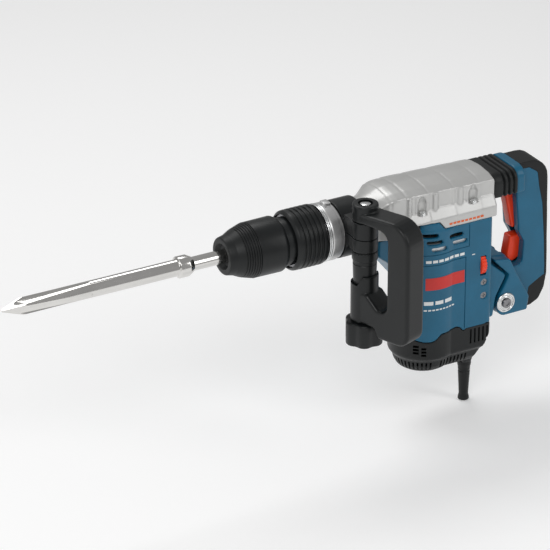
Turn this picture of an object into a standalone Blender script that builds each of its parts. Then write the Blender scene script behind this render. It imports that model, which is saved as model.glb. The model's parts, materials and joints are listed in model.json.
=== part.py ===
"""Demolition hammer with a pointed chisel.

A slotted-shank tool holder with a locking sleeve and an indexing ring sits on the nose of a
cast gear housing.  Inside, an upright motor turns a crank gear, whose rod drives a piston;
the air in front of the piston throws a striker at the anvil, which hits the chisel.  A sprung
D handle closes the back, and a clamp on the neck carries the side handle.

Frame: metres, +Z up, +X from the chisel's tip to the rear handle.  The origin is the small
flat on the chisel's tip, and the chisel and the barrel share the X axis.
"""
import math

import bmesh
import bpy
from mathutils import Matrix, Vector

MM = 0.001
GAP = 0.3 * MM                      # between pieces that touch or are pressed together
RUN = 0.5 * MM                      # between pieces that turn or slide on each other

# Chisel
CHISEL_LENGTH = 400 * MM
INSERTED_LENGTH = 97 * MM           # shank hidden behind the nose
SHANK_R = 9 * MM
CHISEL_R = 10.75 * MM
COLLAR_R = 14 * MM
COLLAR_LENGTH = 20 * MM
COLLAR_TO_NOSE = 43 * MM
POINT_LENGTH = 33 * MM
FLUTE_LENGTH = 85 * MM
FLUTE_DEPTH = 4 * MM
TIP_R = 0.9 * MM
CHISEL_TRAVEL = 12 * MM

# Tool holder, locking sleeve and indexing ring, front to back along X
CAP_LENGTH = 38.2 * MM
SLEEVE_LENGTH = 39.5 * MM
SLEEVE_R = 36 * MM
SLEEVE_TRAVEL = 6.5 * MM
RING_LENGTH = 42 * MM
RING_R = 39 * MM
RING_TRAVEL = 4 * MM
FLANGE_LENGTH = 5 * MM
FLANGE_R = 38 * MM
NOSE_RING_LENGTH = 17 * MM
NOSE_RING_R = 37.5 * MM
HOLDER_R = 17 * MM
HOLDER_REAR_R = 24 * MM
LOCK_WIDTH = 6 * MM
LOCK_LENGTH = 12 * MM
INDEX_STEPS = 12

# Hammer mechanism
ANVIL_R = 11.2 * MM
ANVIL_NOSE_R = 8.5 * MM
ANVIL_TRAVEL = 2 * MM
BORE_R = 19 * MM
CYLINDER_WALL = 2.5 * MM
STRIKER_LENGTH = 38 * MM
STRIKER_FORWARD = 5 * MM
PISTON_LENGTH = 28 * MM
CRANK_THROW = 13 * MM
ROD_LENGTH = 52 * MM
ROD_THICKNESS = 8 * MM
PISTON_PIN_R = 4 * MM
CRANK_PIN_R = 4.5 * MM
GEAR_MODULE = 1.5 * MM
PINION_TEETH = 8
CRANK_TEETH = 40
GEAR_THICKNESS = 9 * MM
GEAR_TOP = -21 * MM
SHAFT_R = 5 * MM
BEARING_R = 11 * MM
BEARING_LENGTH = 10 * MM

# Gear housing
NECK_R = 33.5 * MM
NECK_LENGTH = 73 * MM
HOUSING_LENGTH = 144 * MM           # to the rear face of the motor housing
CASING_OVERHANG = 4 * MM            # how far the casing stands back of that face
HOUSING_HALF_WIDTH = 36 * MM
HOUSING_TOP = 38.5 * MM             # edge between side and top, at the casing's front
HOUSING_CROWN = 6 * MM
TOP_FALL = 0.035                    # how fast the top drops towards the rear
SKIRT_HALF_WIDTH = 44 * MM
WALL = 4 * MM
SPLIT_Z = -15 * MM                  # where the casting meets the motor housing

# Motor and motor housing
MOTOR_TO_REAR = 78 * MM
MOTOR_HOUSING_R = 45.5 * MM
COLUMN_HALF_WIDTH = 42 * MM
MOTOR_WALL = 3.2 * MM
MOTOR_HOUSING_BOTTOM = -171 * MM
CAP_BOTTOM = -222 * MM
CORE_R = 21 * MM
STATOR_R = 38.5 * MM
AIR_GAP = 1 * MM
PLATE_TOP = -34 * MM
PLATE_THICKNESS = 13 * MM
WHEEL_R = 16 * MM
WHEEL_WIDTH = 7.5 * MM
WHEEL_PROUD = 4 * MM
WHEEL_TO_REAR = 14 * MM
WHEEL_Z = -81.5 * MM

# Cord entry
GLAND_TO_REAR = 13 * MM
GLAND_TOP = -197 * MM
GLAND_BOTTOM = -235 * MM
GLAND_FRONT = 11 * MM
GLAND_BACK = 9 * MM
GLAND_HALF_WIDTH = 13 * MM
SLEEVE_BOTTOM = -293 * MM
CORD_HOLE_R = 4.2 * MM

# Rear handle
HANDLE_DEPTH = 99 * MM              # from the casing's rear face to the back of the grip
HANDLE_TOP = 38 * MM
HANDLE_BOTTOM = -168 * MM
GRIP_HALF_WIDTH = 20 * MM
ARM_HALF_WIDTH = 33 * MM
HANDLE_WALL = 3 * MM
PAD_THICKNESS = 12 * MM
PIVOT_BACK = 27 * MM
PIVOT_Z = -148 * MM
PIVOT_R = 5 * MM
TRIGGER_HALF_WIDTH = 8 * MM
GRIP_LEAN = 4 * MM                  # how far the grip's top leans forward

# Side handle
CLAMP_TO_NECK = 18 * MM             # from the neck's front face to the clamp bolt
CLAMP_WIDTH = 25 * MM
CLAMP_WALL = 3.2 * MM
BOLT_OUT = 55 * MM                  # from the barrel's axis to the clamp bolt
BOLT_R = 4 * MM
COLUMN_R = 16.5 * MM
LOOP_REACH = 65 * MM                # from the clamp bolt to the middle of the grip
LOOP_ANGLE = math.radians(-70)
LOOP_TOP = 51 * MM
LOOP_BOTTOM = -117 * MM
LOOP_HALF_WIDTH = 16.5 * MM
LOOP_GRIP_R = 17.5 * MM
KNOB_R = 25 * MM
KNOB_LENGTH = 32 * MM

# Places that follow from the sizes above
NOSE_X = CHISEL_LENGTH - INSERTED_LENGTH
CAP_END_X = NOSE_X + CAP_LENGTH
SLEEVE_X = CAP_END_X + GAP
SLEEVE_END_X = SLEEVE_X + SLEEVE_LENGTH
RING_X = SLEEVE_END_X + SLEEVE_TRAVEL + RING_TRAVEL + RUN
RING_END_X = RING_X + RING_LENGTH
FLANGE_X = RING_END_X + 3 * MM
NOSE_RING_X = FLANGE_X + FLANGE_LENGTH
NECK_X = NOSE_RING_X + NOSE_RING_LENGTH
NECK_END_X = NECK_X + NECK_LENGTH
REAR_X = NECK_END_X + HOUSING_LENGTH
CASING_END_X = REAR_X + CASING_OVERHANG
MOTOR_X = REAR_X - MOTOR_TO_REAR
CRANK_X = MOTOR_X + GEAR_MODULE * (PINION_TEETH + CRANK_TEETH) / 2
PIN_X = CRANK_X - CRANK_THROW
PISTON_PIN_X = PIN_X - ROD_LENGTH
PISTON_X = PISTON_PIN_X - PISTON_LENGTH + 8 * MM
HOLDER_X = NOSE_X + 8 * MM
HOLDER_SHOULDER_X = SLEEVE_END_X - 5 * MM
HOLDER_END_X = NECK_X - 7 * MM
LOCK_X = NOSE_X + 42 * MM
ANVIL_X = CHISEL_LENGTH + ANVIL_TRAVEL + RUN
ANVIL_COLLAR_X = ANVIL_X + 15 * MM
ANVIL_END_X = NECK_X + 3 * MM
STRIKER_NOSE_X = ANVIL_END_X + STRIKER_FORWARD + RUN
STRIKER_X = STRIKER_NOSE_X + 6 * MM
PIVOT_X = REAR_X + PIVOT_BACK
GRIP_BACK_X = REAR_X + HANDLE_DEPTH
SHELL_BACK_X = GRIP_BACK_X - PAD_THICKNESS
CLAMP_X = NECK_X + CLAMP_TO_NECK
BOLT_PLACE = Vector((CLAMP_X, -BOLT_OUT, 0))

STEEL = ("polished steel", (0.62, 0.61, 0.60), 0.22, 1.0)
DARK_STEEL = ("hardened steel", (0.28, 0.28, 0.29), 0.35, 1.0)
BRIGHT_ZINC = ("bright zinc", (0.72, 0.73, 0.74), 0.28, 1.0)
SILVER_PAINT = ("silver painted casting", (0.56, 0.56, 0.55), 0.42, 0.3)
ALUMINIUM = ("machined aluminium", (0.66, 0.67, 0.67), 0.38, 1.0)
BLUE_PLASTIC = ("blue housing plastic", (0.02, 0.13, 0.23), 0.42, 0.0)
BLACK_PLASTIC = ("black plastic", (0.015, 0.017, 0.017), 0.45, 0.0)
BLACK_RUBBER = ("black rubber", (0.012, 0.014, 0.014), 0.6, 0.0)
RED_PLASTIC = ("red control plastic", (0.75, 0.05, 0.015), 0.4, 0.0)
COPPER = ("copper", (0.72, 0.36, 0.2), 0.35, 1.0)
CARBON = ("carbon", (0.03, 0.03, 0.03), 0.7, 0.0)
GREEN_BOARD = ("potted electronics", (0.03, 0.10, 0.06), 0.5, 0.0)


# Blender helpers

def clear_scene():
    for thing in list(bpy.data.objects):
        bpy.data.objects.remove(thing, do_unlink=True)


def finish_material(finish):
    name, colour, roughness, metallic = finish
    material = bpy.data.materials.get(name)
    if material is None:
        material = bpy.data.materials.new(name)
        material.use_nodes = True
        shader = material.node_tree.nodes["Principled BSDF"]
        shader.inputs["Base Color"].default_value = (*colour, 1)
        shader.inputs["Roughness"].default_value = roughness
        shader.inputs["Metallic"].default_value = metallic
    return material


def body(name, place=(0, 0, 0)):
    """An empty on a joint's axis, which the pieces of one moving body hang from."""
    empty = bpy.data.objects.new(name + "_frame", None)
    empty.location = place
    bpy.context.scene.collection.objects.link(empty)
    return empty


def piece(name, bm, finish=None, parent=None):
    """Turn bm, drawn in world coordinates, into an object that hangs from parent."""
    bmesh.ops.recalc_face_normals(bm, faces=bm.faces)
    home = parent.location if parent else Vector((0, 0, 0))
    bmesh.ops.translate(bm, verts=bm.verts, vec=-home)
    mesh = bpy.data.meshes.new(name)
    bm.to_mesh(mesh)
    bm.free()
    mesh.shade_smooth()
    mesh.set_sharp_from_angle(angle=math.radians(35))
    thing = bpy.data.objects.new(name, mesh)
    bpy.context.scene.collection.objects.link(thing)
    if parent:
        thing.parent = parent
    if finish:
        mesh.materials.append(finish_material(finish))
    return thing


def combine(target, operation, tools):
    for tool in tools:
        step = target.modifiers.new(tool.name, "BOOLEAN")
        step.operation = operation
        step.object = tool
        tool.hide_render = True
        tool.display_type = "WIRE"


def cut(target, *tools):
    combine(target, "DIFFERENCE", tools)


def fuse(target, *tools):
    combine(target, "UNION", tools)


def on_axis(axis, along, radius, angle):
    across, up = radius * math.cos(angle), radius * math.sin(angle)
    return {"X": (along, across, up), "Y": (across, along, up), "Z": (across, up, along)}[axis]


def bridge(bm, first, second):
    """Faces between two rings of vertices; a ring of one vertex is a pole."""
    count = max(len(first), len(second))
    for k in range(count):
        after = (k + 1) % count
        if len(first) == 1:
            bm.faces.new((first[0], second[after], second[k]))
        elif len(second) == 1:
            bm.faces.new((first[k], first[after], second[0]))
        else:
            bm.faces.new((first[k], first[after], second[after], second[k]))


def turned(name, profile, finish=None, axis="X", centre=(0, 0, 0), segments=24, parent=None):
    """Solid of revolution from a closed profile of (along, radius) points."""
    bm = bmesh.new()
    rings = []
    for along, radius in profile:
        angles = [math.tau * k / segments for k in range(segments)] if radius else [0]
        rings.append([bm.verts.new(Vector(on_axis(axis, along, radius, a)) + Vector(centre))
                      for a in angles])
    for first, second in zip(rings, rings[1:] + rings[:1]):
        if len(first) > 1 or len(second) > 1:
            bridge(bm, first, second)
    return piece(name, bm, finish, parent)


def rod(name, low, high, radius, finish=None, axis="X", centre=(0, 0, 0), segments=16,
        parent=None):
    profile = [(low, 0), (low, radius), (high, radius), (high, 0)]
    return turned(name, profile, finish, axis, centre, segments, parent)


def ring(name, low, high, inner, outer, finish=None, axis="X", centre=(0, 0, 0), segments=24,
         parent=None):
    profile = [(low, inner), (low, outer), (high, outer), (high, inner)]
    return turned(name, profile, finish, axis, centre, segments, parent)


def rounded(corners, steps=3):
    """Outline through corners (a, b) or (a, b, fillet radius)."""
    points = []
    for k, corner in enumerate(corners):
        here = Vector(corner[:2])
        if len(corner) == 2:
            points.append(here)
            continue
        before = (Vector(corners[k - 1][:2]) - here).normalized()
        after = (Vector(corners[(k + 1) % len(corners)][:2]) - here).normalized()
        half = before.angle(after) / 2
        centre = here + (before + after).normalized() * corner[2] / math.sin(half)
        start = here + before * corner[2] / math.tan(half) - centre
        end = here + after * corner[2] / math.tan(half) - centre
        turn = start.angle_signed(end)
        for step in range(steps + 1):
            points.append(centre + Matrix.Rotation(-turn * step / steps, 2) @ start)
    return points


def extruded(name, outline, low, high, finish=None, axis="Z", parent=None, turn=None):
    """Prism of a 2D outline; the outline's plane is the one across the axis."""
    bm = bmesh.new()
    levels = []
    for level in (low, high):
        places = {"X": lambda p: (level, p[0], p[1]), "Y": lambda p: (p[0], level, p[1]),
                  "Z": lambda p: (p[0], p[1], level)}[axis]
        levels.append([bm.verts.new(places(point)) for point in outline])
    bridge(bm, *levels)
    bm.faces.new(levels[0])
    bm.faces.new(reversed(levels[1]))
    if turn:
        bmesh.ops.transform(bm, matrix=turn, verts=bm.verts)
    return piece(name, bm, finish, parent)


def block(name, low, high, finish=None, parent=None):
    outline = [(low[0], low[1]), (high[0], low[1]), (high[0], high[1]), (low[0], high[1])]
    return extruded(name, outline, low[2], high[2], finish, "Z", parent)


def lofted(name, sections, finish=None, parent=None):
    """Solid through sections that all have the same number of points."""
    bm = bmesh.new()
    rings = [[bm.verts.new(point) for point in section] for section in sections]
    for first, second in zip(rings, rings[1:]):
        bridge(bm, first, second)
    bmesh.ops.triangulate(bm, faces=bm.faces)
    bm.faces.new(rings[0])
    bm.faces.new(reversed(rings[-1]))
    return piece(name, bm, finish, parent)


def coil(name, start, end, radius, wire, turns, finish, parent=None, centre=(0, 0, 0), axis="X"):
    """Compression spring drawn as a five-sided wire."""
    per_turn, sides = 10, 5
    count = round(turns * per_turn)
    sections = []
    for k in range(count + 1):
        angle = math.tau * k / per_turn
        along = start + wire + (end - start - 2 * wire) * k / count
        sections.append([Vector(centre) + Vector(on_axis(
            axis, along + wire * math.sin(math.tau * s / sides),
            radius + wire * math.cos(math.tau * s / sides), angle)) for s in range(sides)])
    return lofted(name, sections, finish, parent)


def toothed(teeth, module, centre, phase=0.0):
    """Spur gear outline; tooth flanks are straight and leave running clearance."""
    pitch = teeth * module / 2
    points = []
    for k in range(teeth):
        for share, radius in ((-0.27, pitch - 1.1 * module), (-0.1, pitch + 0.85 * module),
                              (0.1, pitch + 0.85 * module), (0.27, pitch - 1.1 * module)):
            angle = math.tau * (k + share + phase) / teeth
            points.append((centre[0] + radius * math.cos(angle),
                           centre[1] + radius * math.sin(angle)))
    return points


# Chisel

def make_chisel(parent):
    collar_end = NOSE_X - COLLAR_TO_NOSE
    collar = collar_end - COLLAR_LENGTH
    flute_end = POINT_LENGTH + FLUTE_LENGTH
    stations = [(0, TIP_R, 0), (0.25, 3.6 * MM, 0.25), (0.6, 6.9 * MM, 0.6), (1, 9.8 * MM, 1)]
    stations = [(share * POINT_LENGTH, radius, depth) for share, radius, depth in stations]
    stations += [(POINT_LENGTH + FLUTE_LENGTH * 0.35, CHISEL_R, 1),
                 (POINT_LENGTH + FLUTE_LENGTH * 0.75, CHISEL_R, 0.85),
                 (POINT_LENGTH + FLUTE_LENGTH * 0.9, CHISEL_R, 0.45), (flute_end, CHISEL_R, 0),
                 (collar, CHISEL_R, 0), (collar, COLLAR_R - MM, 0), (collar + MM, COLLAR_R, 0),
                 (collar_end - MM, COLLAR_R, 0), (collar_end, COLLAR_R - MM, 0),
                 (collar_end, SHANK_R, 0), (CHISEL_LENGTH - MM, SHANK_R, 0),
                 (CHISEL_LENGTH, SHANK_R - MM, 0)]
    sections = []
    for x, radius, depth in stations:
        section = []
        for k in range(24):
            angle = math.tau * k / 24
            hollow = min(FLUTE_DEPTH, 0.42 * radius) * depth * math.cos(2 * angle) ** 2
            section.append(on_axis("X", x, radius - hollow, angle))
        sections.append(section)
    chisel = lofted("chisel", sections, STEEL, parent)
    lock_floor = 6.3 * MM
    for side in (-1, 1):
        low, high = sorted((side * lock_floor, side * SHANK_R * 2))
        closed = block("lock groove", (LOCK_X - 3 * MM, low, -LOCK_WIDTH / 2 - RUN),
                       (LOCK_X + LOCK_LENGTH + CHISEL_TRAVEL + MM, high, LOCK_WIDTH / 2 + RUN))
        drive = block("drive slot", (LOCK_X + 6 * MM, -2.5 * MM, low),
                      (CHISEL_LENGTH + MM, 2.5 * MM, high))
        cut(chisel, closed, drive)


# Tool holder

def make_tool_holder(holder, sleeve, index):
    bore = SHANK_R + GAP
    tube = turned("tool_holder", [
        (HOLDER_X, bore), (HOLDER_X, HOLDER_R - 2 * MM), (HOLDER_X + 2 * MM, HOLDER_R),
        (HOLDER_SHOULDER_X, HOLDER_R), (HOLDER_SHOULDER_X, HOLDER_REAR_R),
        (HOLDER_END_X, HOLDER_REAR_R), (HOLDER_END_X, ANVIL_R + GAP),
        (CHISEL_LENGTH + 2 * MM, ANVIL_R + GAP), (CHISEL_LENGTH + 2 * MM, bore)],
        DARK_STEEL, parent=holder, segments=24)
    for side, word in ((-1, "left"), (1, "right")):
        near, far = sorted((side * 5 * MM, side * 30 * MM))
        slot = block("lock slot", (LOCK_X, near, -LOCK_WIDTH / 2),
                     (LOCK_X + LOCK_LENGTH, far, LOCK_WIDTH / 2))
        cut(tube, slot)
        near, far = sorted((side * 7 * MM, side * (HOLDER_R - GAP)))
        block("locking_segment_" + word, (LOCK_X + GAP, near, -LOCK_WIDTH / 2 + GAP),
              (LOCK_X + LOCK_LENGTH - GAP, far, LOCK_WIDTH / 2 - GAP), STEEL, holder)
    front = 24 * MM
    opening = 17.5 * MM
    lip = SHANK_R + 0.8 * MM
    seat = HOLDER_R + GAP
    ribs = []
    for k in range(3):
        x = NOSE_X + (16 + 7 * k) * MM
        radius = front + (SLEEVE_R - front) * (x - NOSE_X) / CAP_LENGTH
        ribs += [(x, radius), (x + MM, radius - MM), (x + 3 * MM, radius + 0.4 * MM)]
    turned("dust_cap", [
        (NOSE_X, opening), (NOSE_X, front - 1.5 * MM), (NOSE_X + 1.5 * MM, front),
        (NOSE_X + 9 * MM, front + 2 * MM), *ribs, (CAP_END_X, SLEEVE_R - MM),
        (CAP_END_X, seat), (HOLDER_X - GAP, seat), (HOLDER_X - GAP, lip),
        (NOSE_X + 5 * MM, lip)], BLACK_RUBBER, parent=holder)
    wall_end = SLEEVE_X + 15 * MM
    slide = HOLDER_R + RUN
    turned("locking_sleeve", [
        (SLEEVE_X, slide), (SLEEVE_X, SLEEVE_R - MM), (SLEEVE_X + MM, SLEEVE_R),
        (SLEEVE_END_X - 3 * MM, SLEEVE_R), (SLEEVE_END_X, SLEEVE_R - 1.5 * MM),
        (SLEEVE_END_X, SLEEVE_R - 3.5 * MM), (wall_end, SLEEVE_R - 3.5 * MM),
        (wall_end, slide)], BLACK_PLASTIC, parent=sleeve)
    coil("sleeve_spring", wall_end + SLEEVE_TRAVEL + RUN, HOLDER_SHOULDER_X - GAP,
         HOLDER_R + 3.2 * MM, 1.1 * MM, 3, STEEL, holder)
    ring_in = RING_R - 4.5 * MM
    ring_slide = HOLDER_REAR_R + RUN
    wall = RING_X + 20 * MM
    ribs = []
    for k in range(3):
        x = RING_X + (10 + 9 * k) * MM
        ribs += [(x, RING_R), (x + MM, RING_R - MM), (x + 2 * MM, RING_R)]
    turned("indexing_ring", [
        (RING_X, ring_in), (RING_X, RING_R - 3 * MM), (RING_X + 3 * MM, RING_R), *ribs,
        (RING_END_X, RING_R), (RING_END_X, ring_in), (wall + 7 * MM, ring_in),
        (wall + 7 * MM, ring_slide), (wall, ring_slide), (wall, ring_in)],
        BLACK_PLASTIC, parent=index)
    retainer_end = RING_X + 6.5 * MM
    ring("ring_retainer", RING_X + 3 * MM, retainer_end, HOLDER_REAR_R + GAP, ring_in - RUN,
         DARK_STEEL, parent=holder)
    coil("indexing_spring", retainer_end + GAP, wall - RING_TRAVEL - RUN, 29 * MM, 1.1 * MM, 2,
         STEEL, holder)
    bore = HOLDER_REAR_R + RUN
    coupling = ring("index_coupling", wall + 11 * MM, FLANGE_X - GAP, bore, 33.5 * MM,
                    DARK_STEEL)
    notch_front = wall + 8 * MM
    for k in range(INDEX_STEPS // 2):
        turn = Matrix.Rotation(math.tau * k / INDEX_STEPS, 4, "X")
        outline = [(-31 * MM, -2 * MM), (31 * MM, -2 * MM), (31 * MM, 2 * MM), (-31 * MM, 2 * MM)]
        bar = extruded("index notch", outline, notch_front, wall + 13 * MM, axis="X", turn=turn)
        cut(coupling, bar)
    ring("front_flange", FLANGE_X, NOSE_RING_X - GAP, bore, FLANGE_R, BRIGHT_ZINC, segments=24)
    nose = ring("nose_ring", NOSE_RING_X, NECK_X - GAP, bore, NOSE_RING_R, ALUMINIUM,
                segments=24)
    lug = block("nose lug", (NOSE_RING_X + 4 * MM, -6 * MM, NOSE_RING_R - 4 * MM),
                (NECK_X - 3 * MM, 6 * MM, NOSE_RING_R + 4 * MM))
    fuse(nose, lug)


# Hammer mechanism

def make_hammer_mechanism(anvil, striker, piston, con_rod, crank):
    tail = ANVIL_NOSE_R
    collar_end = ANVIL_COLLAR_X + 18 * MM
    turned("anvil", [(ANVIL_X, 0), (ANVIL_X, tail - MM), (ANVIL_X + MM, tail),
                     (ANVIL_COLLAR_X, tail), (ANVIL_COLLAR_X + 2 * MM, ANVIL_R),
                     (collar_end, ANVIL_R), (collar_end, tail), (ANVIL_END_X, tail),
                     (ANVIL_END_X, 0)], STEEL, parent=anvil, segments=20)
    ring("anvil_guide", HOLDER_END_X + RUN, NECK_X - 2 * GAP, tail + GAP,
         HOLDER_REAR_R + RUN - GAP, DARK_STEEL, segments=20)
    cylinder_r = BORE_R + CYLINDER_WALL
    ring("cylinder", NECK_X + MM, MOTOR_X - 12 * MM, BORE_R, cylinder_r, STEEL)
    striker_end = STRIKER_X + STRIKER_LENGTH
    fit = BORE_R - GAP - 0.1 * MM
    turned("striker", [(STRIKER_NOSE_X, 0), (STRIKER_NOSE_X, tail), (STRIKER_X, tail),
                       (STRIKER_X, fit), (STRIKER_X + 8 * MM, fit), (STRIKER_X + 9 * MM, fit - MM),
                       (STRIKER_X + 11 * MM, fit - MM), (STRIKER_X + 12 * MM, fit),
                       (striker_end, fit), (striker_end, 0)], STEEL, parent=striker, segments=24)
    piston_end = PISTON_X + PISTON_LENGTH
    cup = BORE_R - 5 * MM
    crown = PISTON_X + 8 * MM
    head = turned("piston", [(PISTON_X, 0), (PISTON_X, fit), (piston_end, fit),
                             (piston_end, cup), (crown, cup), (crown, 0)],
                  ALUMINIUM, parent=piston, segments=24)
    wrist = (PISTON_PIN_X, 0, 0)
    cut(head, rod("wrist hole", -BORE_R * 2, BORE_R * 2, PISTON_PIN_R + GAP, axis="Z",
                  centre=wrist))
    rod("piston_pin", -BORE_R + MM, BORE_R - MM, PISTON_PIN_R, STEEL, "Z", wrist, parent=piston)
    eye_r, wrist_r, waist = 8.5 * MM, 7.5 * MM, 4.5 * MM
    small = rod("wrist eye", -ROD_THICKNESS / 2, ROD_THICKNESS / 2, wrist_r, axis="Z",
                centre=wrist)
    shank = block("rod shank", (PISTON_PIN_X, -waist, -ROD_THICKNESS / 2 + MM),
                  (PIN_X, waist, ROD_THICKNESS / 2 - MM))
    link = rod("con_rod", -ROD_THICKNESS / 2, ROD_THICKNESS / 2, eye_r, DARK_STEEL, "Z",
               (PIN_X, 0, 0), parent=con_rod)
    fuse(link, shank, small)
    cut(link, rod("wrist bore", -0.02, 0.02, PISTON_PIN_R + GAP, axis="Z", centre=wrist),
        rod("crank bore", -0.02, 0.02, CRANK_PIN_R + GAP, axis="Z", centre=(PIN_X, 0, 0)))
    gear = extruded("crank_gear", toothed(CRANK_TEETH, GEAR_MODULE, (CRANK_X, 0), phase=0.5),
                    GEAR_TOP - GEAR_THICKNESS, GEAR_TOP, DARK_STEEL, parent=crank)
    crank_pin = rod("crank pin", GEAR_TOP - MM, -ROD_THICKNESS / 2 - RUN, CRANK_PIN_R, axis="Z",
                    centre=(PIN_X, 0, 0))
    crank_shaft = rod("crank shaft", PLATE_TOP - PLATE_THICKNESS - 4 * MM,
                      GEAR_TOP - GEAR_THICKNESS + MM, SHAFT_R, axis="Z", centre=(CRANK_X, 0, 0))
    fuse(gear, crank_pin, crank_shaft)
    bearing_low = PLATE_TOP - BEARING_LENGTH - MM
    for word, x in (("crank", CRANK_X), ("motor_top", MOTOR_X)):
        ring(word + "_bearing", bearing_low, PLATE_TOP - MM, SHAFT_R + GAP, BEARING_R, STEEL,
             "Z", (x, 0, 0), segments=20)


# Gear housing

def casing_section(x, blend, grow=0.0, bottom=SPLIT_Z):
    """Housing section at x: blend 0 is the round neck, blend 1 the broad casing."""
    wide = HOUSING_HALF_WIDTH - grow
    skirt = SKIRT_HALF_WIDTH - grow
    top = HOUSING_TOP - grow - TOP_FALL * (x - NECK_END_X)
    half = [(0, top + HOUSING_CROWN), (wide * 0.35, top + HOUSING_CROWN * 0.9),
            (wide * 0.65, top + HOUSING_CROWN * 0.5), (wide * 0.92, top - MM),
            (wide, top - 4 * MM), (wide, 12 * MM), (skirt, 0), (skirt, bottom)]
    half += [(skirt * 0.6, bottom), (0, bottom)]
    radius = NECK_R - grow
    around = []
    for k, (y, z) in enumerate(half):
        angle = math.pi * k / (len(half) - 1)
        round_y, round_z = radius * math.sin(angle), radius * math.cos(angle)
        around.append((round_y + (y - round_y) * blend, round_z + (z - round_z) * blend))
    around += [(-y, z) for y, z in reversed(around[1:-1])]
    return [(x, y, z) for y, z in around]


def casing(name, start, grow=0.0, bottom=SPLIT_Z, finish=None):
    """Outer form of the gear housing from start back, made larger by grow."""
    front = NECK_END_X
    stations = ((start, 0), (front - 27 * MM, 0), (front - 15 * MM, 0.3),
                (front - 4 * MM, 0.85), (front + 8 * MM, 1), (CASING_END_X, 1))
    return lofted(name, [casing_section(x, blend, -grow, bottom) for x, blend in stations],
                  finish)


def make_gear_housing():
    front = NECK_END_X
    shell = casing("gear_housing", NECK_X, finish=SILVER_PAINT)
    inner = [(front + 4 * MM, 0.8), (front + 12 * MM, 1), (CASING_END_X - WALL, 1)]
    hollow = lofted("casing hollow", [casing_section(x, blend, WALL, SPLIT_Z - 20 * MM * blend)
                                      for x, blend in inner])
    barrel = rod("neck bore", NECK_X - MM, front + 8 * MM, BORE_R + CYLINDER_WALL + GAP,
                 segments=24)
    cut(shell, hollow, barrel)
    screws = [(front + 40 * MM, 9 * MM), (REAR_X - 28 * MM, 9 * MM)]
    for x, z in screws:
        for side, word in ((-1, "left"), (1, "right")):
            place = (x, side * (HOUSING_HALF_WIDTH + 1.5 * MM), 0)
            pocket = rod("screw pocket", z, HOUSING_TOP - 8 * MM, 5 * MM, axis="Z",
                         centre=place)
            hole = rod("screw hole", z - 12 * MM, z + MM, 2.3 * MM, axis="Z", centre=place)
            cut(shell, pocket, hole)
            end = "front" if x < MOTOR_X else "rear"
            turned(f"housing_screw_{end}_{word}", [
                (z - 10 * MM, 0), (z - 10 * MM, 1.9 * MM), (z + GAP, 1.9 * MM),
                (z + GAP, 3.9 * MM), (z + 4 * MM, 3.4 * MM), (z + 4 * MM, 1.6 * MM),
                (z + 2.4 * MM, 1.6 * MM), (z + 2.4 * MM, 0)], BRIGHT_ZINC, "Z", place, 12)


# Motor housing, bearings and motor

def column_outline(inward=0.0):
    """Plan of the upright housing: a round motor end and a square back."""
    radius = MOTOR_HOUSING_R - inward
    wide = COLUMN_HALF_WIDTH - inward
    back = REAR_X - inward
    start = math.asin(wide / radius)
    points = [(MOTOR_X + radius * math.cos(a), radius * math.sin(a))
              for a in [start + (math.tau - 2 * start) * k / 18 for k in range(19)]]
    rear = rounded([(back, -wide, 7 * MM), (back, wide, 7 * MM)] + [points[0], points[-1]], 2)
    return points + rear[:6]


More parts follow.
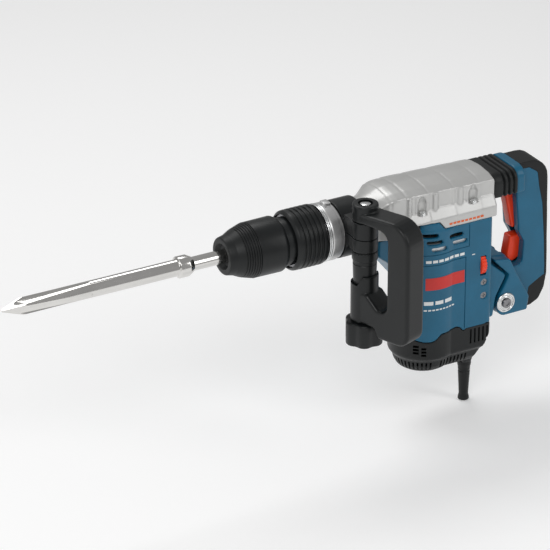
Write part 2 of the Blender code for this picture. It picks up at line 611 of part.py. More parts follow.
def make_motor_housing():
    plate_low = PLATE_TOP - PLATE_THICKNESS
    top = SPLIT_Z - GAP
    shell = extruded("motor_housing", column_outline(), MOTOR_HOUSING_BOTTOM, top, BLUE_PLASTIC)
    chin_front = NECK_END_X - 22 * MM
    chin = extruded("chin", rounded([
        (chin_front, top, 2 * MM), (chin_front, -42 * MM, 5 * MM),
        (chin_front + 14 * MM, -50 * MM, 8 * MM), (MOTOR_X - 42 * MM, -92 * MM),
        (MOTOR_X, -92 * MM), (MOTOR_X, top)], 2), -31 * MM, 31 * MM, axis="Y")
    lug = extruded("handle lug", rounded([
        (REAR_X - 5 * MM, -86 * MM), (REAR_X + 2 * MM, -86 * MM),
        (REAR_X + 27.5 * MM, -108.5 * MM, 5 * MM), (REAR_X + 12.5 * MM, -137 * MM, 5 * MM),
        (REAR_X + 8.5 * MM, -164 * MM),
        (REAR_X - 5 * MM, -164 * MM)], 2), -ARM_HALF_WIDTH, ARM_HALF_WIDTH, axis="Y")
    tongue_half = ARM_HALF_WIDTH - 14 * MM
    tongue = extruded("pivot tongue", rounded([
        (REAR_X - 5 * MM, PIVOT_Z + 12 * MM), (PIVOT_X + 12 * MM, PIVOT_Z + 12 * MM, 11 * MM),
        (PIVOT_X + 12 * MM, PIVOT_Z - 12 * MM, 11 * MM), (REAR_X - 5 * MM, PIVOT_Z - 12 * MM)], 3),
        -tongue_half, tongue_half, axis="Y")
    fuse(shell, chin, lug, tongue)
    room = extruded("motor room", column_outline(MOTOR_WALL), MOTOR_HOUSING_BOTTOM - 0.02,
                    top + 0.02)
    neck_seat = casing("neck seat", chin_front - MM, GAP, SPLIT_Z - GAP / 2)
    pivot = rod("pivot hole", -0.06, 0.06, PIVOT_R + GAP, axis="Y", centre=(PIVOT_X, 0, PIVOT_Z))
    wheel_x = REAR_X - WHEEL_TO_REAR
    window = block("wheel window", (wheel_x - WHEEL_WIDTH / 2 - RUN, -0.06, WHEEL_Z - 14 * MM),
                   (wheel_x + WHEEL_WIDTH / 2 + RUN, -0.03, WHEEL_Z + 14 * MM))
    barrel_room = rod("barrel room", chin_front - MM, MOTOR_X, BORE_R + CYLINDER_WALL + RUN,
                      segments=24)
    cut(shell, room, neck_seat, barrel_room, pivot, window)
    for column_x, rows in ((MOTOR_X - 17 * MM, 3), (MOTOR_X + 15 * MM, 2)):
        for row in range(rows):
            x = column_x + (7 if rows == 3 else 5) * MM * row
            z = (-22 if rows == 3 else -21) * MM - 9 * MM * row
            slot = [(x - 10 * MM, z), (x + 9 * MM, z), (x + 11 * MM, z - 4 * MM),
                    (x - 8 * MM, z - 4 * MM)]
            cut(shell, extruded("vent slot", slot, -0.07, -0.03, axis="Y"),
                extruded("vent slot", slot, 0.03, 0.07, axis="Y"))
    for z in (-106 * MM, -125 * MM):
        cut(shell, rod("service hole", -0.06, -0.03, 4.6 * MM, axis="Y",
                       centre=(REAR_X - 12 * MM, 0, z), segments=12))
    plate = extruded("bearing_plate", column_outline(MOTOR_WALL + GAP), plate_low, PLATE_TOP,
                     ALUMINIUM)
    for x in (CRANK_X, MOTOR_X):
        cut(plate, rod("bearing seat", -0.06, -0.02, BEARING_R + GAP, axis="Z",
                       centre=(x, 0, 0), segments=20))


def make_motor(rotor):
    centre = (MOTOR_X, 0, 0)
    plate_low = PLATE_TOP - PLATE_THICKNESS
    shaft_low = MOTOR_HOUSING_BOTTOM - 8 * MM
    shaft = rod("armature_shaft", shaft_low, GEAR_TOP - GEAR_THICKNESS - GAP, SHAFT_R - GAP,
                STEEL, "Z", centre, parent=rotor)
    pinion = extruded("pinion teeth", toothed(PINION_TEETH, GEAR_MODULE, (MOTOR_X, 0)),
                      GEAR_TOP - GEAR_THICKNESS - MM, GEAR_TOP + MM)
    fuse(shaft, pinion)
    core_top = plate_low - 31 * MM
    core_low = core_top - 48 * MM
    hub = SHAFT_R + GAP
    core = ring("armature_core", core_low, core_top, hub, CORE_R, DARK_STEEL, "Z", centre,
                parent=rotor)
    commutator_top = core_low - 11 * MM
    ring("commutator", commutator_top - 18 * MM, commutator_top, hub, 12 * MM, COPPER, "Z",
         centre, parent=rotor)
    fan_top = plate_low - 6 * MM
    fan_r = STATOR_R - 4 * MM
    fan = ring("fan", fan_top - 2 * MM, fan_top, hub, fan_r, BLACK_PLASTIC, "Z", centre,
               parent=rotor)
    blades = []
    for k in range(9):
        angle = math.tau * k / 9
        for share, radius in ((-0.3, 10 * MM), (-0.05, fan_r - MM), (0.02, fan_r - MM),
                              (-0.12, 10 * MM)):
            turn = angle + share
            blades.append((MOTOR_X + radius * math.cos(turn), radius * math.sin(turn)))
    blade_set = extruded("fan blades", blades, fan_top - 13 * MM, fan_top - MM)
    fuse(fan, blade_set)
    cut(fan, rod("fan bore", -0.1, 0, hub, axis="Z", centre=centre, segments=24))
    ring("stator", core_low - 3 * MM, core_top + 3 * MM, CORE_R + AIR_GAP, STATOR_R, DARK_STEEL,
         "Z", centre, segments=24)
    end_low = MOTOR_HOUSING_BOTTOM - 6 * MM
    end_plate = ring("brush_bridge", end_low, end_low + 10 * MM, BEARING_R + GAP,
                     MOTOR_HOUSING_R - MOTOR_WALL - RUN, BLACK_PLASTIC, "Z", centre, 24)
    brush_z = commutator_top - 9 * MM
    for side, word in ((-1, "left"), (1, "right")):
        near, far = sorted((side * 15 * MM, side * 37 * MM))
        fuse(end_plate, block("brush holder", (MOTOR_X - 6 * MM, near, end_low + 5 * MM),
                              (MOTOR_X + 6 * MM, far, brush_z + 7 * MM)))
        cut(end_plate, block("brush tunnel", (MOTOR_X - 3.4 * MM, near - MM, brush_z - 5 * MM),
                             (MOTOR_X + 3.4 * MM, far + MM, brush_z + 5 * MM)))
        near, far = sorted((side * 12.4 * MM, side * 30 * MM))
        block("carbon_brush_" + word, (MOTOR_X - 3 * MM, near, brush_z - 4.6 * MM),
              (MOTOR_X + 3 * MM, far, brush_z + 4.6 * MM), CARBON)
    for k in range(4):
        angle = math.tau * (k + 0.5) / 4
        place = (MOTOR_X + 26 * MM * math.cos(angle), 26 * MM * math.sin(angle), 0)
        cut(end_plate, rod("air window", -0.3, 0, 9 * MM, axis="Z", centre=place, segments=10))
    ring("motor_lower_bearing", end_low + MM, end_low + 9 * MM, SHAFT_R, BEARING_R, STEEL, "Z",
         centre, segments=20)
    block("electronics_module", (REAR_X - 34 * MM, -8 * MM, MOTOR_HOUSING_BOTTOM + 25 * MM),
          (REAR_X - 6 * MM, 28 * MM, plate_low - 8 * MM), GREEN_BOARD)


def make_bottom_cap():
    top = MOTOR_HOUSING_BOTTOM - GAP
    levels = ((top, 0), (top - 22 * MM, 0), (top - 34 * MM, 3), (top - 44 * MM, 9),
              (CAP_BOTTOM, 20))

    def shell(wall):
        sections = []
        for z, draw in levels:
            lift = wall if z == CAP_BOTTOM else 0
            if wall and z == top:
                lift = 0.01
            sections.append([(x, y, z + lift) for x, y in column_outline(draw * MM + wall)])
        return sections

    def slant(name, shift):
        return extruded(name, [
            (REAR_X + MM - shift, top - 5 * MM), (REAR_X + 2 * MM, top - 5 * MM),
            (REAR_X + 2 * MM, CAP_BOTTOM - MM), (REAR_X - 24 * MM - shift, CAP_BOTTOM - MM)],
            -0.06, 0.06, axis="Y")

    cap = lofted("bottom_cap", shell(0), BLACK_PLASTIC)
    room = lofted("cap room", shell(MOTOR_WALL))
    cut(room, slant("slanted wall", 1.2 * MOTOR_WALL))
    cut(cap, room, slant("slanted corner", 0))
    for k in range(6):
        x = REAR_X - (10 + 5 * k) * MM
        cut(cap, block("slat gap", (x, -0.06, top - 20 * MM), (x + 2 * MM, 0.06, top - 6 * MM)))
    gland_x = REAR_X - GLAND_TO_REAR
    half = GLAND_HALF_WIDTH + GAP
    cut(cap, block("gland notch", (gland_x - GLAND_FRONT - GAP, -half, CAP_BOTTOM - MM),
                   (REAR_X + MM, half, GLAND_TOP + GAP)))


def make_cord_entry():
    gland_x = REAR_X - GLAND_TO_REAR
    sections = []
    for z, shrink in ((GLAND_TOP, 0), (CAP_BOTTOM, 0), (GLAND_BOTTOM + 8 * MM, 1.5 * MM),
                      (GLAND_BOTTOM, 3.5 * MM)):
        near, far = -GLAND_FRONT + shrink, GLAND_BACK - shrink
        half = GLAND_HALF_WIDTH - shrink * 0.6
        if z == GLAND_TOP:
            far -= 6 * MM
        outline = rounded([(near, -half, 4 * MM), (far, -half, 4 * MM), (far, half, 4 * MM),
                           (near, half, 4 * MM)], 2)
        sections.append([(gland_x + x, y, z) for x, y in outline])
    gland = lofted("cord_gland", sections, BLACK_PLASTIC)
    centre = (gland_x, 0, 0)
    cut(gland, rod("gland bore", GLAND_BOTTOM - 0.01, GLAND_TOP + 0.01, 6.5 * MM, axis="Z",
                   centre=centre))
    top = GLAND_BOTTOM + 12 * MM
    groove = 1.6 * MM
    profile = [(top, CORD_HOLE_R), (top, 6 * MM), (GLAND_BOTTOM - GAP, 6 * MM),
               (GLAND_BOTTOM - GAP, 9 * MM), (GLAND_BOTTOM - 5 * MM, 9.5 * MM)]
    for k in range(2):
        z = GLAND_BOTTOM - (14 + 14 * k) * MM
        radius = (8.4 - 0.9 * k) * MM
        profile += [(z, radius), (z - groove, radius - MM), (z - 2 * groove, radius)]
    profile += [(SLEEVE_BOTTOM + 6 * MM, 6.3 * MM), (SLEEVE_BOTTOM + 4 * MM, 7.5 * MM),
                (SLEEVE_BOTTOM, 7.5 * MM), (SLEEVE_BOTTOM, CORD_HOLE_R)]
    turned("cord_sleeve", profile, BLACK_RUBBER, "Z", centre, 16)


# Rear handle

def handle_corners():
    """Side outline of the blue handle shells, from the top front corner, clockwise."""
    r = REAR_X
    back = SHELL_BACK_X
    step = HANDLE_TOP - 8 * MM
    return [(r + 40 * MM, HANDLE_TOP), (r + 52 * MM, HANDLE_TOP), (r + 52 * MM, step),
            (back - GRIP_LEAN, step, 20 * MM),
            (back, HANDLE_BOTTOM + 34 * MM, 4 * MM),
            (back - 16 * MM, HANDLE_BOTTOM + 26.5 * MM, 4 * MM),
            (back - 21.5 * MM, HANDLE_BOTTOM + 0.5 * MM),
            (r + 15 * MM, HANDLE_BOTTOM, 10 * MM), (r + 16.5 * MM, -139 * MM, 5 * MM),
            (r + 32 * MM, -109.5 * MM, 5 * MM), (r + 8.5 * MM, -86 * MM), (r + 9 * MM, -83.3 * MM),
            (r + 34 * MM, -87 * MM, 5 * MM), (r + 44 * MM, -108 * MM, 6 * MM),
            (r + 60 * MM, -106 * MM, 8 * MM), (r + 62 * MM, -75 * MM, 5 * MM),
            (r + 54 * MM, -60 * MM, 5 * MM), (r + 48 * MM, 3 * MM), (r + 40 * MM, 3 * MM)]


def make_rear_handle(handle, trigger, paddle):
    r = REAR_X
    corners = handle_corners()
    fork_inner = ARM_HALF_WIDTH - 14 * MM + RUN
    bottom_arm = rounded(corners[6:8] + [
        (r + 17.3 * MM, -139.4 * MM, 5 * MM), (r + 33 * MM, -110.3 * MM, 5 * MM),
        (r + 10 * MM, -86.5 * MM), (r + 10.4 * MM, -84.1 * MM), (r + 33.3 * MM, -87.8 * MM, 5 * MM),
        (r + 43 * MM, -109 * MM, 6 * MM), (r + 64 * MM, PIVOT_Z, 8 * MM)], 2)
    for side, word in ((-1, "left"), (1, "right")):
        def half(near, far):
            low, high = sorted((side * near, side * far))
            return {"low": low, "high": high, "axis": "Y"}
        shell = extruded("handle_shell_" + word, rounded(corners, 2),
                         finish=BLUE_PLASTIC, parent=handle, **half(GAP / 2, GRIP_HALF_WIDTH))
        arm = extruded("arm", bottom_arm, **half(5 * MM, ARM_HALF_WIDTH))
        collar = extruded("top collar", [
            (r + 40 * MM, HANDLE_TOP), (r + 52 * MM, HANDLE_TOP), (r + 52 * MM, 3 * MM),
            (r + 40 * MM, 3 * MM)], **half(5 * MM, ARM_HALF_WIDTH))
        fuse(shell, arm, collar)
        grip_room = [(r + 56 * MM, HANDLE_TOP - 14 * MM, 4 * MM),
                     (SHELL_BACK_X - GRIP_LEAN - HANDLE_WALL, HANDLE_TOP - 14 * MM, 12 * MM),
                     (SHELL_BACK_X - HANDLE_WALL, HANDLE_BOTTOM + 39 * MM, 4 * MM),
                     (r + 68 * MM, HANDLE_BOTTOM + 30.5 * MM, 3 * MM),
                     (r + 63 * MM, HANDLE_BOTTOM + 12 * MM),
                     (r + 54 * MM, HANDLE_BOTTOM + 12 * MM, 4 * MM), (r + 65 * MM, -105 * MM),
                     (r + 65 * MM, -70 * MM), (r + 58 * MM, -56 * MM)]
        room = extruded("grip room", rounded(grip_room, 2),
                        **half(-MM, GRIP_HALF_WIDTH - HANDLE_WALL))
        switch_gap = extruded("switch gap", [
            (r + 30 * MM, -112 * MM), (r + 66 * MM, -112 * MM), (r + 66 * MM, 7 * MM),
            (r + 30 * MM, 7 * MM)], **half(-MM, TRIGGER_HALF_WIDTH + RUN))
        fork = extruded("fork room", rounded([
            (r - 2 * MM, PIVOT_Z + 16 * MM), (PIVOT_X + 16 * MM, PIVOT_Z + 16 * MM, 14 * MM),
            (PIVOT_X + 16 * MM, HANDLE_BOTTOM - MM), (r - 2 * MM, HANDLE_BOTTOM - MM)], 3),
            **half(-MM, fork_inner))
        pivot = rod("pivot bore", -0.06, 0.06, PIVOT_R + GAP, axis="Y",
                    centre=(PIVOT_X, 0, PIVOT_Z))
        cut(shell, room, switch_gap, fork, pivot)
        near, far = sorted((side * (ARM_HALF_WIDTH + GAP), side * (ARM_HALF_WIDTH + 2.6 * MM)))
        ring("pivot_washer_" + word, near, far, PIVOT_R + GAP, 13.5 * MM, BRIGHT_ZINC, "Y",
             (PIVOT_X, 0, PIVOT_Z), parent=handle, segments=24)
    head = ARM_HALF_WIDTH + 3 * MM
    turned("pivot_bolt", [
        (-head - 2.5 * MM, 0), (-head - 2.5 * MM, 7 * MM), (-head, 7.5 * MM), (-head, PIVOT_R),
        (head, PIVOT_R), (head, 7.5 * MM), (head + 2.5 * MM, 7 * MM), (head + 2.5 * MM, 0)],
        STEEL, "Y", (PIVOT_X, 0, PIVOT_Z), 16)
    grip = extruded("grip_cover", rounded([
        (r + 52 * MM + GAP, HANDLE_TOP), (GRIP_BACK_X - GRIP_LEAN, HANDLE_TOP, 30 * MM),
        (GRIP_BACK_X, HANDLE_BOTTOM + 40 * MM), (SHELL_BACK_X + GAP, HANDLE_BOTTOM + 40 * MM),
        (SHELL_BACK_X - GRIP_LEAN + GAP, HANDLE_TOP - 8 * MM + GAP, 20 * MM),
        (r + 52 * MM + GAP, HANDLE_TOP - 8 * MM + GAP)], 4), -GRIP_HALF_WIDTH + MM,
        GRIP_HALF_WIDTH - MM, BLACK_RUBBER, "Y", handle)
    soften = grip.modifiers.new("round edges", "BEVEL")
    soften.width = 3 * MM
    soften.segments = 1
    soften.limit_method = "ANGLE"
    soften.angle_limit = math.radians(50)
    extruded("corner_pad", rounded([
        (SHELL_BACK_X + GAP, HANDLE_BOTTOM + 39.5 * MM), (GRIP_BACK_X, HANDLE_BOTTOM + 39.5 * MM),
        (GRIP_BACK_X - 4 * MM, HANDLE_BOTTOM + 20 * MM, 12 * MM),
        (GRIP_BACK_X - 12 * MM, HANDLE_BOTTOM + 4.5 * MM, 8 * MM),
        (SHELL_BACK_X - 12 * MM, HANDLE_BOTTOM - 1.6 * MM, 6 * MM),
        (SHELL_BACK_X - 21.1 * MM, HANDLE_BOTTOM - 1.8 * MM),
        (SHELL_BACK_X - 21.1 * MM, HANDLE_BOTTOM + 0.6 * MM),
        (SHELL_BACK_X - 15.6 * MM, HANDLE_BOTTOM + 26 * MM, 4 * MM),
        (SHELL_BACK_X + GAP, HANDLE_BOTTOM + 33.6 * MM, 3 * MM)], 2), -GRIP_HALF_WIDTH + MM,
        GRIP_HALF_WIDTH - MM, BLACK_RUBBER, "Y", handle)
    block("switch_module", (r + 68 * MM, -11 * MM, -88 * MM),
          (SHELL_BACK_X - HANDLE_WALL - GRIP_LEAN - MM, 11 * MM, 2 * MM), BLACK_PLASTIC, handle)
    half_width = TRIGGER_HALF_WIDTH
    extruded("trigger", rounded([
        (r + 37 * MM, 1.2 * MM, 3 * MM), (r + 57 * MM, 1.2 * MM), (r + 57 * MM, -56 * MM),
        (r + 50 * MM, -58 * MM, 3 * MM)], 2), -half_width, half_width, RED_PLASTIC, "Y", trigger)
    extruded("lock_paddle", rounded([
        (r + 48 * MM, -69 * MM, 2 * MM), (r + 64 * MM, -69 * MM), (r + 64 * MM, -101 * MM),
        (r + 50 * MM, -107 * MM, 5 * MM), (r + 43 * MM, -97 * MM, 9 * MM)], 2),
        -half_width, half_width, RED_PLASTIC, "Y", paddle)


def make_bellows():
    """Rubber bellows between the casing and the sprung handle, short of the moving collar."""
    profile = []
    start = CASING_END_X + GAP
    for k in range(3):
        x = start + 9 * k * MM
        profile += [(x, 0), (x + 4.5 * MM, 0), (x + 6 * MM, 3), (x + 8 * MM, 3)]
    sections = []
    for x, draw in profile:
        wide, top, low = (36 - draw) * MM, (HANDLE_TOP / MM - draw) * MM, (5 + draw) * MM
        outline = rounded([(-wide, low, 5 * MM), (wide, low, 5 * MM), (wide, top, 12 * MM),
                           (-wide, top, 12 * MM)], 2)
        sections.append([(x, y, z) for y, z in outline])
    lofted("bellows", sections, BLACK_RUBBER)


# Side handle

def make_side_handle(clamp, loop, knob):
    inner = NECK_R + RUN
    outer = inner + CLAMP_WALL
    x0, x1 = CLAMP_X - CLAMP_WIDTH / 2, CLAMP_X + CLAMP_WIDTH / 2
    ear_top, ear_low, slit = 33 * MM, -8 * MM, 10 * MM
    band = ring("clamp_band", x0, x1, inner, outer, BLACK_PLASTIC, segments=24, parent=clamp)
    ear = rod("clamp ear", ear_low, ear_top, COLUMN_R, axis="Z", centre=BOLT_PLACE, segments=20)
    web = block("ear web", (x0, -BOLT_OUT, ear_low), (x1, -inner + 8 * MM, ear_top))
    fuse(band, ear, web)
    cut(band, rod("neck room", x0 - 0.02, x1 + 0.02, inner, segments=24),
        block("clamp slit", (x0 - 0.01, -0.1, slit), (x1 + 0.01, -0.02, slit + 0.8 * MM)),
        rod("bolt hole", -0.1, 0.1, BOLT_R + GAP, axis="Z", centre=BOLT_PLACE))
    cup_top = -53 * MM
    turned("toothed_spacer", [
        (ear_low - GAP, BOLT_R + GAP), (ear_low - GAP, COLUMN_R), (ear_low - 12 * MM, COLUMN_R),
        (ear_low - 14 * MM, COLUMN_R - 1.5 * MM), (cup_top + GAP, COLUMN_R - 1.5 * MM),
        (cup_top + GAP, BOLT_R + GAP)], BLACK_PLASTIC, "Z", BOLT_PLACE, 20, clamp)
    place = Matrix.Translation(BOLT_PLACE) @ Matrix.Rotation(LOOP_ANGLE, 4, "Z")
    arm_low = ear_top + GAP
    arm_top = 47 * MM
    knob_top = -105 * MM
    inside, outside = LOOP_REACH - LOOP_GRIP_R, LOOP_REACH + LOOP_GRIP_R
    frame = extruded("side_handle", rounded([
        (-COLUMN_R, arm_low), (-COLUMN_R, arm_top), (outside, LOOP_TOP, 28 * MM),
        (outside, LOOP_BOTTOM, 16 * MM), (KNOB_R + 8 * MM, LOOP_BOTTOM, 4 * MM),
        (KNOB_R + 2 * MM, knob_top + GAP),
        (-COLUMN_R, knob_top + GAP), (-COLUMN_R, cup_top), (COLUMN_R, cup_top),
        (inside, LOOP_BOTTOM + 26 * MM, 10 * MM), (inside, arm_low, 12 * MM)], 3),
        -LOOP_HALF_WIDTH, LOOP_HALF_WIDTH, BLACK_PLASTIC, "Y", loop, place)
    soften = frame.modifiers.new("round edges", "BEVEL")
    soften.width = 5 * MM
    soften.segments = 2
    soften.limit_method = "ANGLE"
    soften.angle_limit = math.radians(60)
    cap_top = arm_top + 9 * MM
    fuse(frame, rod("bolt boss", arm_low + 6 * MM, cap_top, COLUMN_R, axis="Z",
                    centre=BOLT_PLACE, segments=24))
    cut(frame, rod("loop bolt hole", -0.2, 0.1, BOLT_R + GAP, axis="Z", centre=BOLT_PLACE),
        rod("head recess", arm_top + 2.5 * MM, cap_top + MM, 9 * MM, axis="Z",
            centre=BOLT_PLACE))
    bolt = rod("handle_bolt", -128 * MM, arm_top + 4 * MM, BOLT_R, BRIGHT_ZINC, "Z", BOLT_PLACE,
               parent=loop)
    fuse(bolt, rod("bolt head", arm_top + 3.3 * MM, arm_top + 8 * MM, 7 * MM, axis="Z",
                   centre=BOLT_PLACE, segments=6))
    knob_low = knob_top - KNOB_LENGTH
    lobes = []
    for k in range(30):
        angle = math.tau * k / 30
        radius = KNOB_R - 2.2 * MM * (0.5 - 0.5 * math.cos(6 * angle))
        lobes.append((CLAMP_X + radius * math.cos(angle), -BOLT_OUT + radius * math.sin(angle)))
    wheel = extruded("side_knob", lobes, knob_low, knob_top, BLACK_PLASTIC, parent=knob)
    edge = wheel.modifiers.new("round edges", "BEVEL")
    edge.width = 3 * MM
    edge.segments = 1
    edge.limit_method = "ANGLE"
    edge.angle_limit = math.radians(60)
    cut(wheel, rod("knob bore", knob_low - 0.01, knob_top + 0.01, BOLT_R + GAP, axis="Z",
                   centre=BOLT_PLACE),
        rod("nut pocket", knob_low - 0.01, knob_low + 9 * MM, 7.4 * MM, axis="Z",
            centre=BOLT_PLACE, segments=6))


def make_speed_wheel(wheel):
    centre = wheel.location
    count = 24
    outline = []
    for k in range(count):
        for share, radius in ((-0.3, WHEEL_R), (0.3, WHEEL_R), (0.5, WHEEL_R - 0.8 * MM)):
            angle = math.tau * (k + share) / count
            outline.append((centre.y + radius * math.cos(angle),
                            centre.z + radius * math.sin(angle)))
    extruded("speed_wheel", outline, centre.x - WHEEL_WIDTH / 2, centre.x + WHEEL_WIDTH / 2,
             RED_PLASTIC, "X", wheel)


def build():
    clear_scene()
    holder = body("tool_holder_body", (HOLDER_X, 0, 0))
    sleeve = body("locking_sleeve_body", (SLEEVE_X, 0, 0))
    index = body("indexing_ring_body", (RING_X, 0, 0))
    make_chisel(body("chisel_body"))
    make_tool_holder(holder, sleeve, index)
    make_hammer_mechanism(body("anvil_body", (ANVIL_X, 0, 0)),
                          body("striker_body", (STRIKER_X, 0, 0)),
                          body("piston_body", (PISTON_PIN_X, 0, 0)),
                          body("con_rod_body", (PISTON_PIN_X, 0, 0)),
                          body("crank_body", (CRANK_X, 0, 0)))
    make_gear_housing()
    make_motor_housing()
    make_motor(body("rotor_body", (MOTOR_X, 0, 0)))
    make_bottom_cap()
    make_cord_entry()
    make_bellows()
    make_rear_handle(body("rear_handle_body", (PIVOT_X, 0, PIVOT_Z)),
                     body("trigger_body", (REAR_X + 55 * MM, 0, -56 * MM)),
                     body("lock_paddle_body", (REAR_X + 62 * MM, 0, -70 * MM)))
    make_side_handle(body("side_clamp_body", (CLAMP_X, 0, 0)),
                     body("side_handle_body", BOLT_PLACE), body("side_knob_body", BOLT_PLACE))
    wheel_y = -COLUMN_HALF_WIDTH - WHEEL_PROUD + WHEEL_R
    make_speed_wheel(body("speed_wheel_body", (REAR_X - WHEEL_TO_REAR, wheel_y, WHEEL_Z)))


build()
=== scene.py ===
import json
import math

import bpy
from mathutils import Matrix, Vector


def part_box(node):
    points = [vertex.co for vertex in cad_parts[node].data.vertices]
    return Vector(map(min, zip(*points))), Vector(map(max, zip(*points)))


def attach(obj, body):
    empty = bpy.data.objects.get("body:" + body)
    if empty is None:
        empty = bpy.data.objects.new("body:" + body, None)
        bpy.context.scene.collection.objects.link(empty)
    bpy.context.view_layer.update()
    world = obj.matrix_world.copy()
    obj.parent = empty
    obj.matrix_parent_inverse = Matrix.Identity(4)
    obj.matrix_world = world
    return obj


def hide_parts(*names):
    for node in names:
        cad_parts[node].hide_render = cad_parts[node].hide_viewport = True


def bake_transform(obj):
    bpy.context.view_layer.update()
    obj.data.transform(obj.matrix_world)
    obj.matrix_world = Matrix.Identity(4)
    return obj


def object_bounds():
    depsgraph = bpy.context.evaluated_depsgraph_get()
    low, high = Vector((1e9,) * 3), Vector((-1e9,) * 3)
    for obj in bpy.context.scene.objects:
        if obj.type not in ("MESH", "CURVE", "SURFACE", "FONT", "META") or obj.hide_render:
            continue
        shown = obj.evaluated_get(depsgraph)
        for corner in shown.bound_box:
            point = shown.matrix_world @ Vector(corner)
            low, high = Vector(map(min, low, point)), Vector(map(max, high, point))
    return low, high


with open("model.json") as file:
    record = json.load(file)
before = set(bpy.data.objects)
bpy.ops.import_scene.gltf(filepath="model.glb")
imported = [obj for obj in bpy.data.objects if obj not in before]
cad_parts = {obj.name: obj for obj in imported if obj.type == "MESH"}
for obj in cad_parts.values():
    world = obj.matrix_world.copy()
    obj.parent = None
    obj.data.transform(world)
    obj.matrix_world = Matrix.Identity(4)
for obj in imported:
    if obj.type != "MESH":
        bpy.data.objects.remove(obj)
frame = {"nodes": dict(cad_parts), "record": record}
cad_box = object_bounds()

nodes = frame["nodes"]
bpy.ops.object.select_all(action="DESELECT")

# Studio: a pale floor under the lowest point, a white surround, and soft boxes above,
# beside and behind, so that the black pieces and the bright steel both show their form.
target = Vector((0.379, 0, -0.044))
azimuth, elevation = math.radians(-29.6), math.radians(26.3)
back = Vector((math.sin(azimuth) * math.cos(elevation),
               -math.cos(azimuth) * math.cos(elevation), math.sin(elevation)))
bpy.ops.object.camera_add(location=target + back * 5.0)
camera = bpy.context.object
camera.rotation_euler = back.to_track_quat("Z", "Y").to_euler()
camera.data.lens = 261.2
camera.data.sensor_width = 36
camera.data.clip_end = 50
bpy.context.scene.camera = camera
bpy.context.scene.view_settings.view_transform = "Standard"

world = bpy.data.worlds.new("studio")
bpy.context.scene.world = world
world.use_nodes = True
world.node_tree.nodes["Background"].inputs["Color"].default_value = (1, 1, 1, 1)
world.node_tree.nodes["Background"].inputs["Strength"].default_value = 0.36

bpy.ops.mesh.primitive_plane_add(size=12, location=(0.4, 0, cad_box[0].z - 0.001))
floor = bpy.context.object
floor.name = "floor"
floor_paint = bpy.data.materials.new("floor paint")
floor_paint.use_nodes = True
floor_shader = floor_paint.node_tree.nodes["Principled BSDF"]
floor_shader.inputs["Base Color"].default_value = (0.9, 0.9, 0.9, 1)
floor_shader.inputs["Roughness"].default_value = 0.8
floor_shader.inputs["Emission Color"].default_value = (1, 1, 1, 1)
floor_shader.inputs["Emission Strength"].default_value = 0.16
floor.data.materials.append(floor_paint)

for place, size, power in (((-0.9, -1.6, 1.7), (1.4, 0.9), 22), ((1.7, -1.5, 1.0), (0.7, 1.4), 8),
                           ((0.3, 1.3, 1.9), (2.0, 0.8), 18), ((-1.6, 0.6, 0.6), (0.6, 1.6), 6)):
    bpy.ops.object.light_add(type="AREA", location=place)
    lamp = bpy.context.object
    lamp.data.shape = "RECTANGLE"
    lamp.data.size, lamp.data.size_y = size
    lamp.data.energy = power
    lamp.rotation_euler = (Vector(place) - Vector((0.42, 0, -0.03))).to_track_quat("Z", "Y").to_euler()


# Pointed chisel: forged tool steel, ground bright and polished.  Four round-bottomed flutes
# run out behind the ground point, and a collar stops it short of the holder's dust cap.
def wire_loop(points):
    """Closed loop of edges through the points."""
    bpy.ops.object.select_all(action="DESELECT")
    bpy.ops.mesh.primitive_circle_add(vertices=len(points), fill_type="NOTHING")
    loop = bpy.context.object
    for vertex, point in zip(loop.data.vertices, points):
        vertex.co = point
    return loop


def in_edit_mode(piece, *steps):
    """Select all of the piece and run each step on it in edit mode."""
    bpy.ops.object.select_all(action="DESELECT")
    piece.select_set(True)
    bpy.context.view_layer.objects.active = piece
    bpy.ops.object.mode_set(mode="EDIT")
    for step in steps:
        bpy.ops.mesh.select_all(action="SELECT")
        step()
    bpy.ops.object.mode_set(mode="OBJECT")


def merge_doubles():
    bpy.ops.mesh.remove_doubles(threshold=2e-6)


def face_outwards():
    bpy.ops.mesh.normals_make_consistent(inside=False)


def smooth(piece, angle=35):
    bpy.ops.object.select_all(action="DESELECT")
    piece.select_set(True)
    bpy.context.view_layer.objects.active = piece
    bpy.ops.object.shade_smooth_by_angle(angle=math.radians(angle))


def along_axis(axis, along, across, up):
    """Point at a distance along X, Y or Z, with the other two coordinates after it."""
    return Vector({"X": (along, across, up), "Y": (across, along, up),
                   "Z": (across, up, along)}[axis])


def rounded(corners, steps=4):
    """Flat outline through (a, b) corners; a third number gives a corner its fillet."""
    points = []
    for k, corner in enumerate(corners):
        here = Vector(corner[:2])
        if len(corner) == 2:
            points.append(tuple(here))
            continue
        before = (Vector(corners[k - 1][:2]) - here).normalized()
        after = (Vector(corners[(k + 1) % len(corners)][:2]) - here).normalized()
        half = before.angle(after) / 2
        middle = here + (before + after).normalized() * corner[2] / math.sin(half)
        start = here + before * corner[2] / math.tan(half) - middle
        end = here + after * corner[2] / math.tan(half) - middle
        turn = start.angle_signed(end)
        for step in range(steps + 1):
            points.append(tuple(middle + Matrix.Rotation(-turn * step / steps, 2) @ start))
    return points


def turned(name, profile, axis="X", centre=(0, 0, 0), steps=96):
    """Lathe-turned piece from a closed profile of (along, radius) corners."""
    centre = Vector(centre)
    piece = wire_loop([centre + along_axis(axis, along, radius, 0)
                       for along, radius in rounded(profile)])
    piece.name = name
    spin_axis = along_axis(axis, 1, 0, 0)
    in_edit_mode(piece, lambda: bpy.ops.mesh.spin(steps=steps, angle=math.tau, center=centre,
                                                  axis=spin_axis),
                 merge_doubles, lambda: bpy.ops.mesh.delete_loose(), face_outwards)
    smooth(piece)
    return piece


